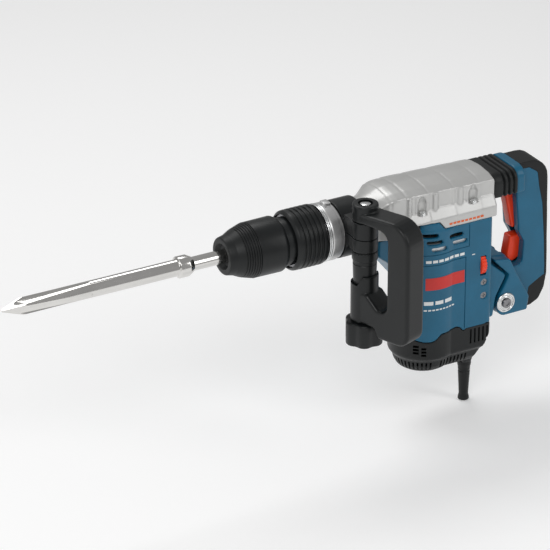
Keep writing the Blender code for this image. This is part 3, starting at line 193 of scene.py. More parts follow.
def modify(piece, kind, **settings):
    """Add a modifier to the piece, set it and apply it."""
    bpy.ops.object.select_all(action="DESELECT")
    piece.select_set(True)
    bpy.context.view_layer.objects.active = piece
    step = piece.modifiers.new(kind.lower(), kind)
    for key, value in settings.items():
        setattr(step, key, value)
    bpy.ops.object.modifier_apply(modifier=step.name)


def carve(piece, *tools, solver="EXACT"):
    """Cut the tools out of the piece and throw them away."""
    for tool in tools:
        modify(piece, "BOOLEAN", operation="DIFFERENCE", object=tool, solver=solver)
        bpy.data.objects.remove(tool, do_unlink=True)


def surface(name, colour, roughness, metallic=0.0, grain=1500, depth=0.03, mottle=0.1,
            scratches=0.0, stretch=(1, 1, 1), coat=0.0):
    """Finish with a mottled colour, uneven gloss, a fine grain in relief and light scratches."""
    material = bpy.data.materials.new(name)
    material.use_nodes = True
    tree = material.node_tree
    shader = tree.nodes["Principled BSDF"]
    shader.inputs["Metallic"].default_value = metallic
    shader.inputs["Coat Weight"].default_value = coat
    shader.inputs["Coat Roughness"].default_value = 0.15
    shader.inputs["Specular IOR Level"].default_value = 0.5 if metallic else 0.35

    def add(kind, **inputs):
        made = tree.nodes.new(kind)
        for key, value in inputs.items():
            made.inputs[key.replace("_", " ")].default_value = value
        return made

    place = tree.nodes.new("ShaderNodeTexCoord").outputs["Object"]
    stretched = add("ShaderNodeMapping", Scale=stretch)
    tree.links.new(place, stretched.inputs["Vector"])
    cloud = add("ShaderNodeTexNoise", Scale=22.0, Detail=5.0, Roughness=0.6)
    tree.links.new(place, cloud.inputs["Vector"])
    tint = tree.nodes.new("ShaderNodeValToRGB")
    tint.color_ramp.elements[0].position = 0.3
    tint.color_ramp.elements[1].position = 0.7
    tint.color_ramp.elements[0].color = (*[c * (1 - mottle) for c in colour], 1)
    tint.color_ramp.elements[1].color = (*[min(1, c * (1 + mottle)) for c in colour], 1)
    tree.links.new(cloud.outputs["Fac"], tint.inputs["Fac"])
    speck = add("ShaderNodeTexNoise", Scale=float(grain), Detail=3.0, Roughness=0.65)
    tree.links.new(stretched.outputs["Vector"], speck.inputs["Vector"])
    gloss = add("ShaderNodeMapRange", To_Min=roughness * 0.85, To_Max=roughness * 1.2)
    tree.links.new(speck.outputs["Fac"], gloss.inputs["Value"])
    relief = add("ShaderNodeBump", Strength=1.0, Distance=depth * 0.001)
    tree.links.new(speck.outputs["Fac"], relief.inputs["Height"])
    tree.links.new(relief.outputs["Normal"], shader.inputs["Normal"])
    if scratches:
        turned_place = add("ShaderNodeMapping", Scale=(90, 900, 500), Rotation=(0.3, 0.5, 0.4))
        tree.links.new(place, turned_place.inputs["Vector"])
        lines = add("ShaderNodeTexNoise", Scale=1.0, Detail=2.0)
        tree.links.new(turned_place.outputs["Vector"], lines.inputs["Vector"])
        thin = add("ShaderNodeMapRange", From_Min=0.66, From_Max=0.72, To_Min=0.0,
                   To_Max=scratches)
        tree.links.new(lines.outputs["Fac"], thin.inputs["Value"])
        worn = tree.nodes.new("ShaderNodeMix")
        worn.data_type = "RGBA"
        worn.inputs["B"].default_value = (*[min(1, c * 1.6 + 0.06) for c in colour], 1)
        tree.links.new(thin.outputs["Result"], worn.inputs["Factor"])
        tree.links.new(tint.outputs["Color"], worn.inputs["A"])
        tree.links.new(worn.outputs["Result"], shader.inputs["Base Color"])
        dull = add("ShaderNodeMath")
        dull.operation = "ADD"
        tree.links.new(gloss.outputs["Result"], dull.inputs[0])
        tree.links.new(thin.outputs["Result"], dull.inputs[1])
        tree.links.new(dull.outputs["Value"], shader.inputs["Roughness"])
    else:
        tree.links.new(tint.outputs["Color"], shader.inputs["Base Color"])
        tree.links.new(gloss.outputs["Result"], shader.inputs["Roughness"])
    return material


def fit(piece, material, body, slot, *replaced):
    """Finish the piece and let it ride on a body in place of the named CAD nodes."""
    piece.data.materials.clear()
    piece.data.materials.append(material)
    piece.data.polygons.foreach_set("material_index", [0] * len(piece.data.polygons))
    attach(piece, body)
    if replaced:
        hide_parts(*replaced)


chisel_low, chisel_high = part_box("chisel")
nose_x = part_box("dust_cap")[0].x
bar_r, collar_r, shank_r = 0.01075, 0.014, 0.009
collar_end = nose_x - 0.043
collar_x = collar_end - 0.020
tip_x = chisel_low.x
chisel = turned("chisel_bar", [
    (tip_x, 0), (tip_x, bar_r), (collar_x - 0.001, bar_r, 0.0008), (collar_x + 0.0002, collar_r, 0.0008),
    (collar_end - 0.007, collar_r, 0.003), (collar_end, shank_r + 0.0012, 0.0004),
    (collar_end + 0.0004, shank_r, 0.0003), (chisel_high.x - 0.001, shank_r),
    (chisel_high.x, shank_r - 0.001), (chisel_high.x, 0)], steps=128)
point_length, flute_run, tip_r = 0.034, 0.117, 0.0012
rib_angle = math.radians(150)
for k in range(4):
    angle = rib_angle + math.tau * (k + 0.5) / 4
    outward = Vector((0, math.cos(angle), math.sin(angle)))
    bpy.ops.mesh.primitive_cylinder_add(vertices=96, radius=0.0092, depth=0.16)
    flute = bpy.context.object
    lean = Vector((flute_run - 0.022, 0, 0)) + outward * 0.0050
    middle = Vector((flute_run - 0.080, 0, 0)) + outward * 0.01515
    flute.matrix_world = Matrix.Translation(middle) @ lean.to_track_quat("Z", "Y").to_matrix().to_4x4()
    carve(chisel, flute)
    flat = Vector((-(bar_r - tip_r) / point_length * 0.86, 0, 0)) + outward
    in_edit_mode(chisel, lambda: bpy.ops.mesh.bisect(
        plane_co=Vector((tip_x, 0, 0)) + outward * tip_r, plane_no=flat.normalized(),
        use_fill=True, clear_outer=True), merge_doubles, face_outwards)
smooth(chisel, 30)
steel = surface("polished tool steel", (0.70, 0.69, 0.67), 0.13, 1.0, grain=900, depth=0.004,
                mottle=0.05, scratches=0.12, stretch=(0.05, 1, 1))
fit(chisel, steel, "chisel", "chisel_steel", "chisel")

# Dust cap: soft black rubber, moulded as a cone with fine ribs and a deep mouth that wipes
# the chisel's shank; it snaps over the front of the holder tube.
cap_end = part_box("dust_cap")[1].x
mouth_r, front_r, sleeve_r = 0.0172, 0.024, 0.036
ribs = []
for k in range(6):
    x = nose_x + 0.0195 + 0.0030 * k
    radius = front_r + 0.001 + (sleeve_r - 0.0008 - front_r) * (x - nose_x) / (cap_end - nose_x)
    ribs += [(x, radius, 0.0003), (x + 0.0003, radius - 0.0010, 0.0002),
             (x + 0.0012, radius - 0.0008, 0.0002), (x + 0.0016, radius + 0.0006, 0.0004)]
dust_cap = turned("dust_cap_rubber", [
    (nose_x, mouth_r, 0.001), (nose_x, front_r, 0.0022), (nose_x + 0.010, front_r + 0.0022, 0.004),
    *ribs, (cap_end - 0.0002, sleeve_r - 0.0006, 0.0008), (cap_end - 0.0002, 0.020),
    (nose_x + 0.0078, 0.0174), (nose_x + 0.0078, shank_r + 0.0006, 0.0004),
    (nose_x + 0.0062, shank_r + 0.0006, 0.0004), (nose_x + 0.0054, 0.0135, 0.001)], steps=128)
rubber = surface("black rubber", (0.006, 0.0072, 0.0075), 0.45, grain=2600, depth=0.02, mottle=0.25)
fit(dust_cap, rubber, "tool_holder", "black_rubber", "dust_cap")

# Locking sleeve: a turned shell of glass-filled nylon that slides on the holder tube; it is
# pulled back against its spring to free the chisel.
sleeve_low, sleeve_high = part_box("locking_sleeve")
sleeve_wall = 0.0035
locking_sleeve = turned("locking_sleeve_shell", [
    (sleeve_low.x, 0.0176), (sleeve_low.x, sleeve_r - 0.0004, 0.0008),
    (sleeve_high.x - 0.004, sleeve_r, 0.003), (sleeve_high.x, sleeve_r - 0.0022, 0.0008),
    (sleeve_high.x, sleeve_r - sleeve_wall), (sleeve_low.x + 0.015, sleeve_r - sleeve_wall),
    (sleeve_low.x + 0.015, 0.0176)], steps=128)
black_nylon = surface("black moulded nylon", (0.0065, 0.0078, 0.0082), 0.36, grain=2200, depth=0.012,
                      mottle=0.2, scratches=0.05)
fit(locking_sleeve, black_nylon, "locking_sleeve", "black_plastic", "locking_sleeve")

# Indexing ring: the same nylon with deep finger grooves; pushed forward and turned, it sets
# the chisel's angle in steps.
ring_low, ring_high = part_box("indexing_ring")
ring_r, ring_inner = 0.039, 0.0345
grooves = []
for k in range(5):
    x = ring_low.x + 0.0085 + 0.0064 * k
    grooves += [(x, ring_r, 0.0009), (x + 0.0007, ring_r - 0.0019, 0.0006),
                (x + 0.0023, ring_r - 0.0019, 0.0006), (x + 0.0030, ring_r, 0.0009)]
wall = ring_low.x + 0.020
indexing_ring = turned("indexing_ring_shell", [
    (ring_low.x, ring_inner), (ring_low.x, ring_r - 0.0035, 0.0008),
    (ring_low.x + 0.0035, ring_r - 0.0004, 0.002), *grooves,
    (ring_high.x, ring_r - 0.0002, 0.0008), (ring_high.x, ring_inner), (wall + 0.007, ring_inner),
    (wall + 0.007, 0.0246), (wall, 0.0246), (wall, ring_inner)], steps=128)
fit(indexing_ring, black_nylon, "indexing_ring", "black_plastic", "indexing_ring")
ring_collar = turned("indexing_ring_collar", [
    (ring_low.x - 0.0095, 0.0262), (ring_low.x - 0.0095, 0.0312, 0.0008), (ring_low.x + 0.002, 0.0312),
    (ring_low.x + 0.002, 0.0262)])
fit(ring_collar, black_nylon, "indexing_ring", "black_plastic")

# Front flange and nose ring: a thin bright pressing and a machined light-metal ring with a
# small stop lug on top, both fixed to the neck of the gear housing.
flange_low, flange_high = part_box("front_flange")
flange = turned("flange_pressing", [
    (flange_low.x, 0.0246), (flange_low.x, flange_high.z, 0.0008),
    (flange_low.x + 0.0019, flange_high.z, 0.0006), (flange_low.x + 0.0024, flange_high.z - 0.0012, 0.0004),
    (flange_low.x + 0.0029, flange_high.z, 0.0006), (flange_high.x, flange_high.z, 0.0008),
    (flange_high.x, 0.0246)], steps=128)
bright_metal = surface("bright plated metal", (0.74, 0.75, 0.75), 0.24, 1.0, grain=1200, depth=0.004,
                       mottle=0.04, scratches=0.1)
fit(flange, bright_metal, "housing", "bright_zinc", "front_flange")

ring_front, ring_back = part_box("nose_ring")
nose_r = -ring_front.z
nose_ring = turned("nose_ring_metal", [
    (ring_front.x, 0.0246), (ring_front.x, nose_r - 0.0008, 0.0006),
    (ring_front.x + 0.002, nose_r, 0.0015), (ring_back.x - 0.004, nose_r, 0.001),
    (ring_back.x - 0.0036, nose_r - 0.001, 0.0005), (ring_back.x, nose_r - 0.001, 0.0008),
    (ring_back.x, 0.0246)], steps=128)
bpy.ops.mesh.primitive_cube_add(size=1, location=(0, 0, 0))
stop_lug = bpy.context.object
lug_size = Matrix.Diagonal((0.010, 0.012, 0.0078, 1))
stop_lug.data.transform(Matrix.Translation((ring_front.x + 0.009, 0, nose_r)) @ lug_size)
modify(stop_lug, "BEVEL", width=0.0012, segments=3)
modify(nose_ring, "BOOLEAN", operation="UNION", object=stop_lug, solver="EXACT")
bpy.data.objects.remove(stop_lug, do_unlink=True)
smooth(nose_ring, 40)
light_alloy = surface("bead-blasted light alloy", (0.60, 0.60, 0.60), 0.36, 0.85, grain=2400, depth=0.02,
                      mottle=0.05)
fit(nose_ring, light_alloy, "housing", "aluminium", "nose_ring")

# Clamp band and column: a split nylon band round the neck, drawn tight by a long bolt through
# the upright column; a toothed spacer under it lets the handle be set at any angle.
def prism(name, outline, low, high, axis="Z"):
    """Solid with a flat outline, from low to high along the axis across it."""
    place = {"X": lambda p, at: (at, p[0], p[1]), "Y": lambda p, at: (p[0], at, p[1]),
             "Z": lambda p, at: (p[0], p[1], at)}[axis]
    bpy.ops.object.select_all(action="DESELECT")
    bpy.ops.mesh.primitive_circle_add(vertices=len(outline), fill_type="NGON")
    piece = bpy.context.object
    piece.name = name
    for vertex, point in zip(piece.data.vertices, outline):
        vertex.co = place(point, low)
    depth = place((0, 0), high - low)
    in_edit_mode(piece, lambda: bpy.ops.mesh.extrude_region_move(
        TRANSFORM_OT_translate={"value": depth}), face_outwards)
    return piece


def cylinder(name, radius, low, high, axis="X", centre=(0, 0, 0), sides=64):
    middle = Vector(centre) + along_axis(axis, (low + high) / 2, 0, 0)
    turn = {"X": (0, math.pi / 2, 0), "Y": (math.pi / 2, 0, 0), "Z": (0, 0, 0)}[axis]
    bpy.ops.object.select_all(action="DESELECT")
    bpy.ops.mesh.primitive_cylinder_add(vertices=sides, radius=radius, depth=high - low,
                                        location=middle, rotation=turn)
    piece = bpy.context.object
    piece.name = name
    bpy.ops.object.transform_apply(location=True, rotation=True, scale=False)
    return piece


def box(name, low, high):
    bpy.ops.object.select_all(action="DESELECT")
    bpy.ops.mesh.primitive_cube_add(size=1)
    piece = bpy.context.object
    piece.name = name
    middle = (Vector(low) + Vector(high)) / 2
    size = Vector(high) - Vector(low)
    piece.data.transform(Matrix.Translation(middle) @ Matrix.Diagonal((*size, 1)))
    return piece


def joined(name, pieces):
    bpy.ops.object.select_all(action="DESELECT")
    for piece in pieces:
        piece.select_set(True)
    bpy.context.view_layer.objects.active = pieces[0]
    if len(pieces) > 1:
        bpy.ops.object.join()
    pieces[0].name = name
    return pieces[0]


def moulded(name, solids, voxel=0.0011, rounds=6):
    """Melt overlapping solids into one skin with soft fillets where they meet."""
    piece = joined(name, solids)
    modify(piece, "REMESH", mode="VOXEL", voxel_size=voxel, adaptivity=0)
    modify(piece, "SMOOTH", factor=0.5, iterations=rounds)
    smooth(piece, 60)
    return piece


bolt_x, bolt_y = 0.477, -0.055
clamp_low, clamp_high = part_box("clamp_band")
column_r, band_in, band_out = 0.0165, 0.0340, 0.0374
clamp = moulded("clamp_band_moulding", [
    turned("band", [(clamp_low.x, band_in - 0.003), (clamp_low.x, band_out),
                    (clamp_high.x, band_out), (clamp_high.x, band_in - 0.003)]),
    cylinder("ear", column_r, -0.0075, 0.0326, "Z", (bolt_x, bolt_y, 0)),
    box("web", (clamp_low.x + 0.001, bolt_y, -0.0075), (clamp_high.x - 0.001, -0.028, 0.0326)),
    box("tab", (clamp_low.x + 0.003, -0.058, 0.012), (clamp_low.x + 0.009, -0.030, 0.030)),
], 0.0009, 3)
carve(clamp, cylinder("neck_room", band_in, 0.44, 0.52), solver="MANIFOLD")
carve(clamp, box("slit", (0.44, -0.1, 0.0096), (0.52, -0.02, 0.0108)), solver="MANIFOLD")
carve(clamp, cylinder("bolt_room", 0.0044, -0.05, 0.06, "Z", (bolt_x, bolt_y, 0)), solver="MANIFOLD")
smooth(clamp, 45)
fit(clamp, black_nylon, "side_clamp", "black_plastic", "clamp_band")

spacer_low, spacer_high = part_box("toothed_spacer")
spacer = turned("spacer_moulding", [
    (spacer_high.z, 0.0044), (spacer_high.z, column_r - 0.0002, 0.0006),
    (spacer_high.z - 0.0115, column_r, 0.0008), (spacer_high.z - 0.0125, column_r - 0.0012, 0.0005),
    (spacer_high.z - 0.0165, column_r - 0.0012), (spacer_high.z - 0.0172, column_r - 0.0018),
    (spacer_high.z - 0.0180, column_r - 0.0012), (spacer_low.z, column_r - 0.0020, 0.0006),
    (spacer_low.z, 0.0044)], "Z", (bolt_x, bolt_y, 0))
teeth = []
for k in range(24):
    tooth = box("tooth", (column_r - 0.0012, -0.0006, -0.0020), (column_r + 0.0006, 0.0006, 0.0001))
    tooth.data.transform(Matrix.Translation((bolt_x, bolt_y, spacer_high.z))
                         @ Matrix.Rotation(math.tau * k / 24, 4, "Z"))
    teeth.append(tooth)
carve(spacer, joined("teeth", teeth))
smooth(spacer, 40)
fit(spacer, black_nylon, "side_clamp", "black_plastic", "toothed_spacer")

# Side handle: a moulded nylon loop with a thick rounded grip, hooked over the column; its
# lower end cups the column and the lobed knob under it draws the long bolt tight.
side_place = Matrix.Translation((bolt_x, bolt_y, 0)) @ Matrix.Rotation(math.radians(-70), 4, "Z")
reach, half_wide = 0.065, 0.0165
inner_u, outer_u = reach - 0.0172, reach + 0.0172
arm_low, arm_top, loop_low, knob_top = 0.0333, 0.0470, -0.117, -0.105
loop = prism("loop", rounded([
    (-0.010, arm_low + 0.0005), (-0.010, arm_top), (0.020, arm_top + 0.0005, 0.02),
    (outer_u, arm_top + 0.0035, 0.030), (outer_u + 0.0005, loop_low, 0.017),
    (0.034, loop_low, 0.004), (0.027, knob_top + 0.0005), (-0.010, knob_top + 0.0005),
    (-0.010, -0.062), (0.016, -0.062, 0.004), (inner_u, loop_low + 0.025, 0.010),
    (inner_u, arm_low - 0.001, 0.014), (0.022, arm_low, 0.01)], 8), -half_wide, half_wide, "Y")
modify(loop, "BEVEL", width=0.0085, segments=5, limit_method="ANGLE", angle_limit=math.radians(60))
cup = cylinder("cup", column_r + 0.0012, knob_top + 0.0006, -0.040, "Z")
cap = turned("cap", [(arm_low + 0.0004, 0), (arm_low + 0.0004, column_r + 0.0002),
                     (0.0560, column_r + 0.0002, 0.0018), (0.0560, 0)], "Z")
side_handle = moulded("side_handle_moulding", [loop, cup, cap], 0.00105, 5)
carve(side_handle, cylinder("spacer_room", column_r - 0.0009, -0.0527, arm_low - 0.0001, "Z"),
      solver="MANIFOLD")
front_cut = prism("front_cut", [(-0.03, -0.0527), (0.002, -0.0527), (0.010, -0.0390),
                                (0.010, -0.02), (-0.03, -0.02)], -0.03, 0.03, "Y")
carve(side_handle, front_cut, solver="MANIFOLD")
carve(side_handle, cylinder("head_recess", 0.0095, 0.0497, 0.07, "Z"), solver="MANIFOLD")
carve(side_handle, cylinder("bolt_hole", 0.0043, -0.2, 0.1, "Z", sides=32), solver="MANIFOLD")
side_handle.data.transform(side_place)
smooth(side_handle, 45)
fit(side_handle, black_nylon, "side_handle", "black_plastic", "side_handle")

bpy.ops.object.select_all(action="DESELECT")
bpy.ops.mesh.primitive_cylinder_add(vertices=6, radius=0.0072, depth=0.0048,
                                    location=(bolt_x, bolt_y, 0.0527))
bolt_head = bpy.context.object
bolt_head.name = "side_bolt_head"
bpy.ops.object.transform_apply(location=True)
modify(bolt_head, "BEVEL", width=0.0006, segments=2)
shank = cylinder("bolt_shank", 0.004, -0.128, 0.0515, "Z", (bolt_x, bolt_y, 0))
joined("side_bolt_head", [bolt_head, shank])
smooth(bolt_head)
fit(bolt_head, bright_metal, "side_handle", "bright_zinc", "handle_bolt")

knob_outline = []
for k in range(144):
    angle = math.tau * k / 144
    radius = 0.0250 - 0.0028 * (0.5 - 0.5 * math.cos(6 * angle)) ** 1.6
    knob_outline.append((bolt_x + radius * math.cos(angle), bolt_y + radius * math.sin(angle)))
knob_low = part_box("side_knob")[0].z
knob = prism("side_knob_moulding", knob_outline, knob_low, knob_top)
modify(knob, "BEVEL", width=0.0028, segments=4, limit_method="ANGLE", angle_limit=math.radians(60))
carve(knob, cylinder("nut_pocket", 0.0076, knob_low - 0.01, knob_low + 0.009, "Z",
                     (bolt_x, bolt_y, 0), 6))
carve(knob, cylinder("knob_bore", 0.0042, knob_low - 0.01, 0.0, "Z", (bolt_x, bolt_y, 0), 32))
smooth(knob, 40)
fit(knob, black_nylon, "side_knob", "black_plastic", "side_knob")

# Gear housing: die-cast light alloy under pale silver paint.  A round neck carries the clamp;
# behind it the broad casing has ribbed panels and pockets for the four long screws.
def lofted(name, sections):
    """Solid skin through rings of points, closed with a flat fan at each end."""
    rings = [[sum((Vector(p) for p in ring), Vector()) / len(ring)] * len(ring)
             if end else ring
             for end, ring in ((1, sections[0]), *((0, ring) for ring in sections),
                               (1, sections[-1]))]
    across = len(sections[0]) + 1
    bpy.ops.object.select_all(action="DESELECT")
    bpy.ops.mesh.primitive_grid_add(x_subdivisions=across - 1, y_subdivisions=len(rings) - 1)
    piece = bpy.context.object
    piece.name = name
    for k, vertex in enumerate(piece.data.vertices):
        ring = rings[k // across]
        vertex.co = ring[k % across % len(ring)]
    in_edit_mode(piece, merge_doubles, face_outwards)
    return piece


neck_x, casing_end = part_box("gear_housing")[0].x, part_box("gear_housing")[1].x
rear_x, split_z = 0.676, -0.015
neck_r, wide, skirt_wide = 0.0335, 0.036, 0.0435


def casing_ring(x, blend, grow=0.0, bottom=split_z):
    """Section of the casing at x; blend 0 is the round neck, 1 the broad arched shape."""
    side, skirt = wide + grow, skirt_wide + grow
    edge = 0.0385 + grow - 0.028 * (x - 0.532)
    half = rounded([(0.0001, bottom), (skirt, bottom, 0.0015), (skirt, 0.0002, 0.003),
                    (side, 0.0125, 0.003), (side, edge - 0.001, 0.0035),
                    (side * 0.62, edge + 0.0038, 0.02), (0.0001, edge + 0.0058)], 6)
    outline = [(-y, z) for y, z in reversed(half)] + half
    lengths = [0.0]
    for first, second in zip(outline, outline[1:] + outline[:1]):
        lengths.append(lengths[-1] + math.dist(first, second))
    ring = []
    at = 0
    for k in range(160):
        along = lengths[-1] * k / 160
        while lengths[at + 1] < along:
            at += 1
        share = (along - lengths[at]) / (lengths[at + 1] - lengths[at])
        y0, z0 = outline[at]
        y1, z1 = outline[(at + 1) % len(outline)]
        y, z = y0 + (y1 - y0) * share, z0 + (z1 - z0) * share
        angle = math.atan2(y, z - 0.006)
        round_y = (neck_r + grow) * math.sin(angle)
        round_z = (neck_r + grow) * math.cos(angle)
        ring.append((x, round_y + (y - round_y) * blend, round_z + (z - round_z) * blend))
    return ring


stations = [(neck_x, 0, 0), (0.500, 0, 0), (0.506, 0.06, 0), (0.512, 0.22, 0), (0.518, 0.47, 0),
            (0.524, 0.74, 0), (0.5265, 0.82, -0.0003), (0.528, 0.86, -0.0015),
            (0.5295, 0.885, -0.0004), (0.536, 0.94, 0), (0.547, 0.985, 0), (0.549, 0.99, -0.0005),
            (0.551, 0.99, 0)]
for start, end in ((0.551, 0.581), (0.581, 0.619), (0.619, 0.657), (0.657, casing_end)):
    last = end == casing_end
    stations += [(start + 0.0011, 1, 0.0001), (start + (end - start) * 0.5, 1, 0.0003),
                 (end - 0.0011, 1, 0.0001), (end, 1, -0.0002 if last else -0.0012)]
gear_solids = [lofted("casing", [casing_ring(x, blend, swell) for x, blend, swell in stations])]
for side in (-1, 1):
    for start, end, high in ((0.5510, 0.5560, 0.0362), (0.5890, 0.5946, 0.0352),
                             (0.6260, 0.6320, 0.0342)):
        near, far = sorted((side * 0.031, side * (wide + 0.0016)))
        rib = box("rib", (start, near, 0.006), (end, far, high))
        modify(rib, "BEVEL", width=0.0013, segments=2)
        gear_solids.append(rib)
gear = moulded("gear_housing_casting", gear_solids, 0.00112, 1)
cutters = []
for side in (-1, 1):
    for start, end, low, high in (
            (0.5310, 0.5492, 0.0115, 0.0365), (0.5566, 0.5636, 0.0118, 0.0358),
            (0.5822, 0.5882, 0.0120, 0.0352), (0.5953, 0.6172, 0.0124, 0.0345),
            (0.6202, 0.6254, 0.0126, 0.0340), (0.6326, 0.6376, 0.0130, 0.0336),
            (0.6586, 0.6782, 0.0132, 0.0330)):
        near, far = sorted((side * (wide - 0.0010), side * 0.06))
        cutters.append(prism("panel", rounded([(start, low, 0.0015), (end, low, 0.0015),
                                               (end, high, 0.0015), (start, high, 0.0015)]),
                             near, far, "Y"))
    for x in (0.572, 0.648):
        place = (x, side * 0.0390, 0)
        pocket = turned("pocket", [(0.0088, 0), (0.0088, 0.0072), (0.0240, 0.0078),
                                   (0.0345, 0.0040, 0.004), (0.0352, 0)], "Z", place, 48)
        cutters.append(pocket)
    near, far = sorted((side * 0.0335, side * 0.06))
    cutters.append(prism("front_step", [
        (0.530, -0.027), (0.6035, -0.027), (0.6035, -0.0152), (0.5945, -0.0040),
        (0.551, -0.0010), (0.530, -0.0005)], near, far, "Y"))
for cutter in cutters:
    carve(gear, cutter, solver="MANIFOLD")
modify(gear, "REMESH", mode="VOXEL", voxel_size=0.00110, adaptivity=0)
modify(gear, "SMOOTH", factor=0.5, iterations=1)
hollow = lofted("hollow", [casing_ring(x, blend, -0.0052, split_z - 0.02 * blend)
                           for x, blend in ((0.536, 0.8), (0.544, 1), (casing_end - 0.0045, 1))])
carve(gear, hollow, solver="MANIFOLD")
carve(gear, cylinder("barrel", 0.0218, neck_x - 0.001, 0.541), solver="MANIFOLD")
smooth(gear, 50)
silver = surface("pale silver paint", (0.54, 0.54, 0.53), 0.36, 0.45, grain=3200, depth=0.012,
                 mottle=0.05, scratches=0.08, coat=0.15)
fit(gear, silver, "housing", "silver_paint", "gear_housing")

# Long screws that hold the casing to the motor housing: bright zinc cap screws, sunk in the
# four pockets with the six-lobe socket upwards.
for word in ("front_left", "front_right", "rear_left", "rear_right"):
    name = "housing_screw_" + word
    low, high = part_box(name)
    x, y = (low.x + high.x) / 2, (low.y + high.y) / 2
    head = high.z - 0.004
    screw = turned(name + "_part", [(low.z, 0), (low.z, 0.0019), (head, 0.0019),
                                    (head, 0.0040, 0.0004), (high.z, 0.0040, 0.0008),
                                    (high.z, 0.0022, 0.0002), (high.z - 0.0022, 0.0018),
                                    (high.z - 0.0022, 0)], "Z", (x, y, 0), 48)
    fit(screw, bright_metal, "housing", "bright_zinc", name)

# Motor housing: teal-blue glass-filled nylon, one deep moulding round the upright motor with
# a chin under the neck, vents, a service panel and the lug that the rear handle swings on.
motor_x, motor_r, motor_wide = 0.598, 0.0455, 0.042
pivot, pivot_bore_r = (0.703, 0, -0.148), 0.0053


def column(inward=0.0):
    """Plan of the motor housing: round round the motor, square at the back."""
    radius, side, end = motor_r - inward, motor_wide - inward, rear_x - inward
    start = math.asin(side / radius)
    arc = [start + (math.tau - 2 * start) * k / 48 for k in range(49)]
    points = [(motor_x + radius * math.cos(a), radius * math.sin(a)) for a in arc]
    corners = rounded([(end, -side, 0.005), (end, side, 0.005), points[0], points[-1]], 6)
    return points + corners[:14]


border = [(0.530, -0.1640), (0.545, -0.1650), (0.5616, -0.1676), (0.5737, -0.1716),
          (0.5800, -0.1725), (0.5858, -0.1722), (0.5914, -0.1698), (0.5990, -0.1630),
          (0.6090, -0.1627), (0.6224, -0.1603), (0.6280, -0.1612), (0.6335, -0.1680),
          (0.6385, -0.1656), (0.676, -0.1656), (0.72, -0.1656)]
upright = prism("upright", column(), -0.180, -0.0152)
raised = prism("raised", column(0.0008), -0.030, 0.001)
carve(raised, prism("border_top", [(0.50, 0.01), (0.50, -0.0008), (0.551, -0.0014), (0.5943, -0.0044),
                                   (0.6033, -0.0155), (0.70, -0.0155), (0.70, 0.01)],
                    -0.06, 0.06, "Y"))
chin = prism("chin", rounded([
    (0.5105, -0.012, 0.003), (0.5095, -0.038, 0.008), (0.525, -0.0500, 0.010),
    (0.560, -0.094), (0.600, -0.094), (0.600, -0.010)], 5), -0.0325, 0.0325, "Y")
modify(chin, "BEVEL", width=0.007, segments=4, limit_method="ANGLE", angle_limit=math.radians(50))
lug = prism("lug", rounded([
    (0.660, -0.0862), (0.679, -0.0866, 0.002), (0.7040, -0.1090, 0.005), (0.6888, -0.1375, 0.006),
    (0.6850, -0.1650, 0.002), (0.660, -0.1650)], 5), -0.0328, 0.0328, "Y")
modify(lug, "BEVEL", width=0.003, segments=3, limit_method="ANGLE", angle_limit=math.radians(50))
tongue = prism("tongue", rounded([(0.660, -0.1365), (0.7145, -0.1365, 0.011),
                                  (0.7145, -0.1595, 0.011), (0.660, -0.1595)], 6),
               -0.0188, 0.0188, "Y")
motor = moulded("motor_housing_moulding", [upright, raised, chin, lug, tongue], 0.00125, 5)
below = prism("below", border + [(0.72, -0.2), (0.530, -0.2)], -0.06, 0.06, "Y")
carve(motor, below, solver="MANIFOLD")
front_seat = lofted("front_seat", [casing_ring(x, blend, 0.0005, -0.0152)
                                   for x, blend in ((0.490, 0), (0.500, 0), (0.506, 0.06),
                                                    (0.512, 0.22), (0.518, 0.47), (0.524, 0.74),
                                                    (0.530, 0.89), (0.536, 0.94), (0.551, 1),
                                                    (0.69, 1))])
for side in (-1, 1):
    near, far = sorted((side * 0.0342, side * 0.06))
    carve(front_seat, prism("under_border", [
        (0.531, -0.03), (0.6028, -0.03), (0.6028, -0.0158), (0.5941, -0.0047), (0.551, -0.0017),
        (0.531, -0.0012)], near, far, "Y"), solver="MANIFOLD")
carve(motor, front_seat, solver="MANIFOLD")


def skin(x):
    """Distance of the motor housing's side from its middle plane at x."""
    past_round = x > motor_x + 0.0175
    return motor_wide if past_round else math.sqrt(motor_r ** 2 - (x - motor_x) ** 2)


def strip(name, start, end, low, high, inner, outer, side=-1):
    """Bar that follows the skin of the motor housing, from inner to outer over it."""
    steps = max(1, round((end - start) / 0.002))
    rings = []
    for k in range(steps + 1):
        x = start + (end - start) * k / steps
        near, far = side * (skin(x) + inner), side * (skin(x) + outer)
        rings.append([(x, near, low), (x, near, high), (x, far, high), (x, far, low)])
    return lofted(name, rings)


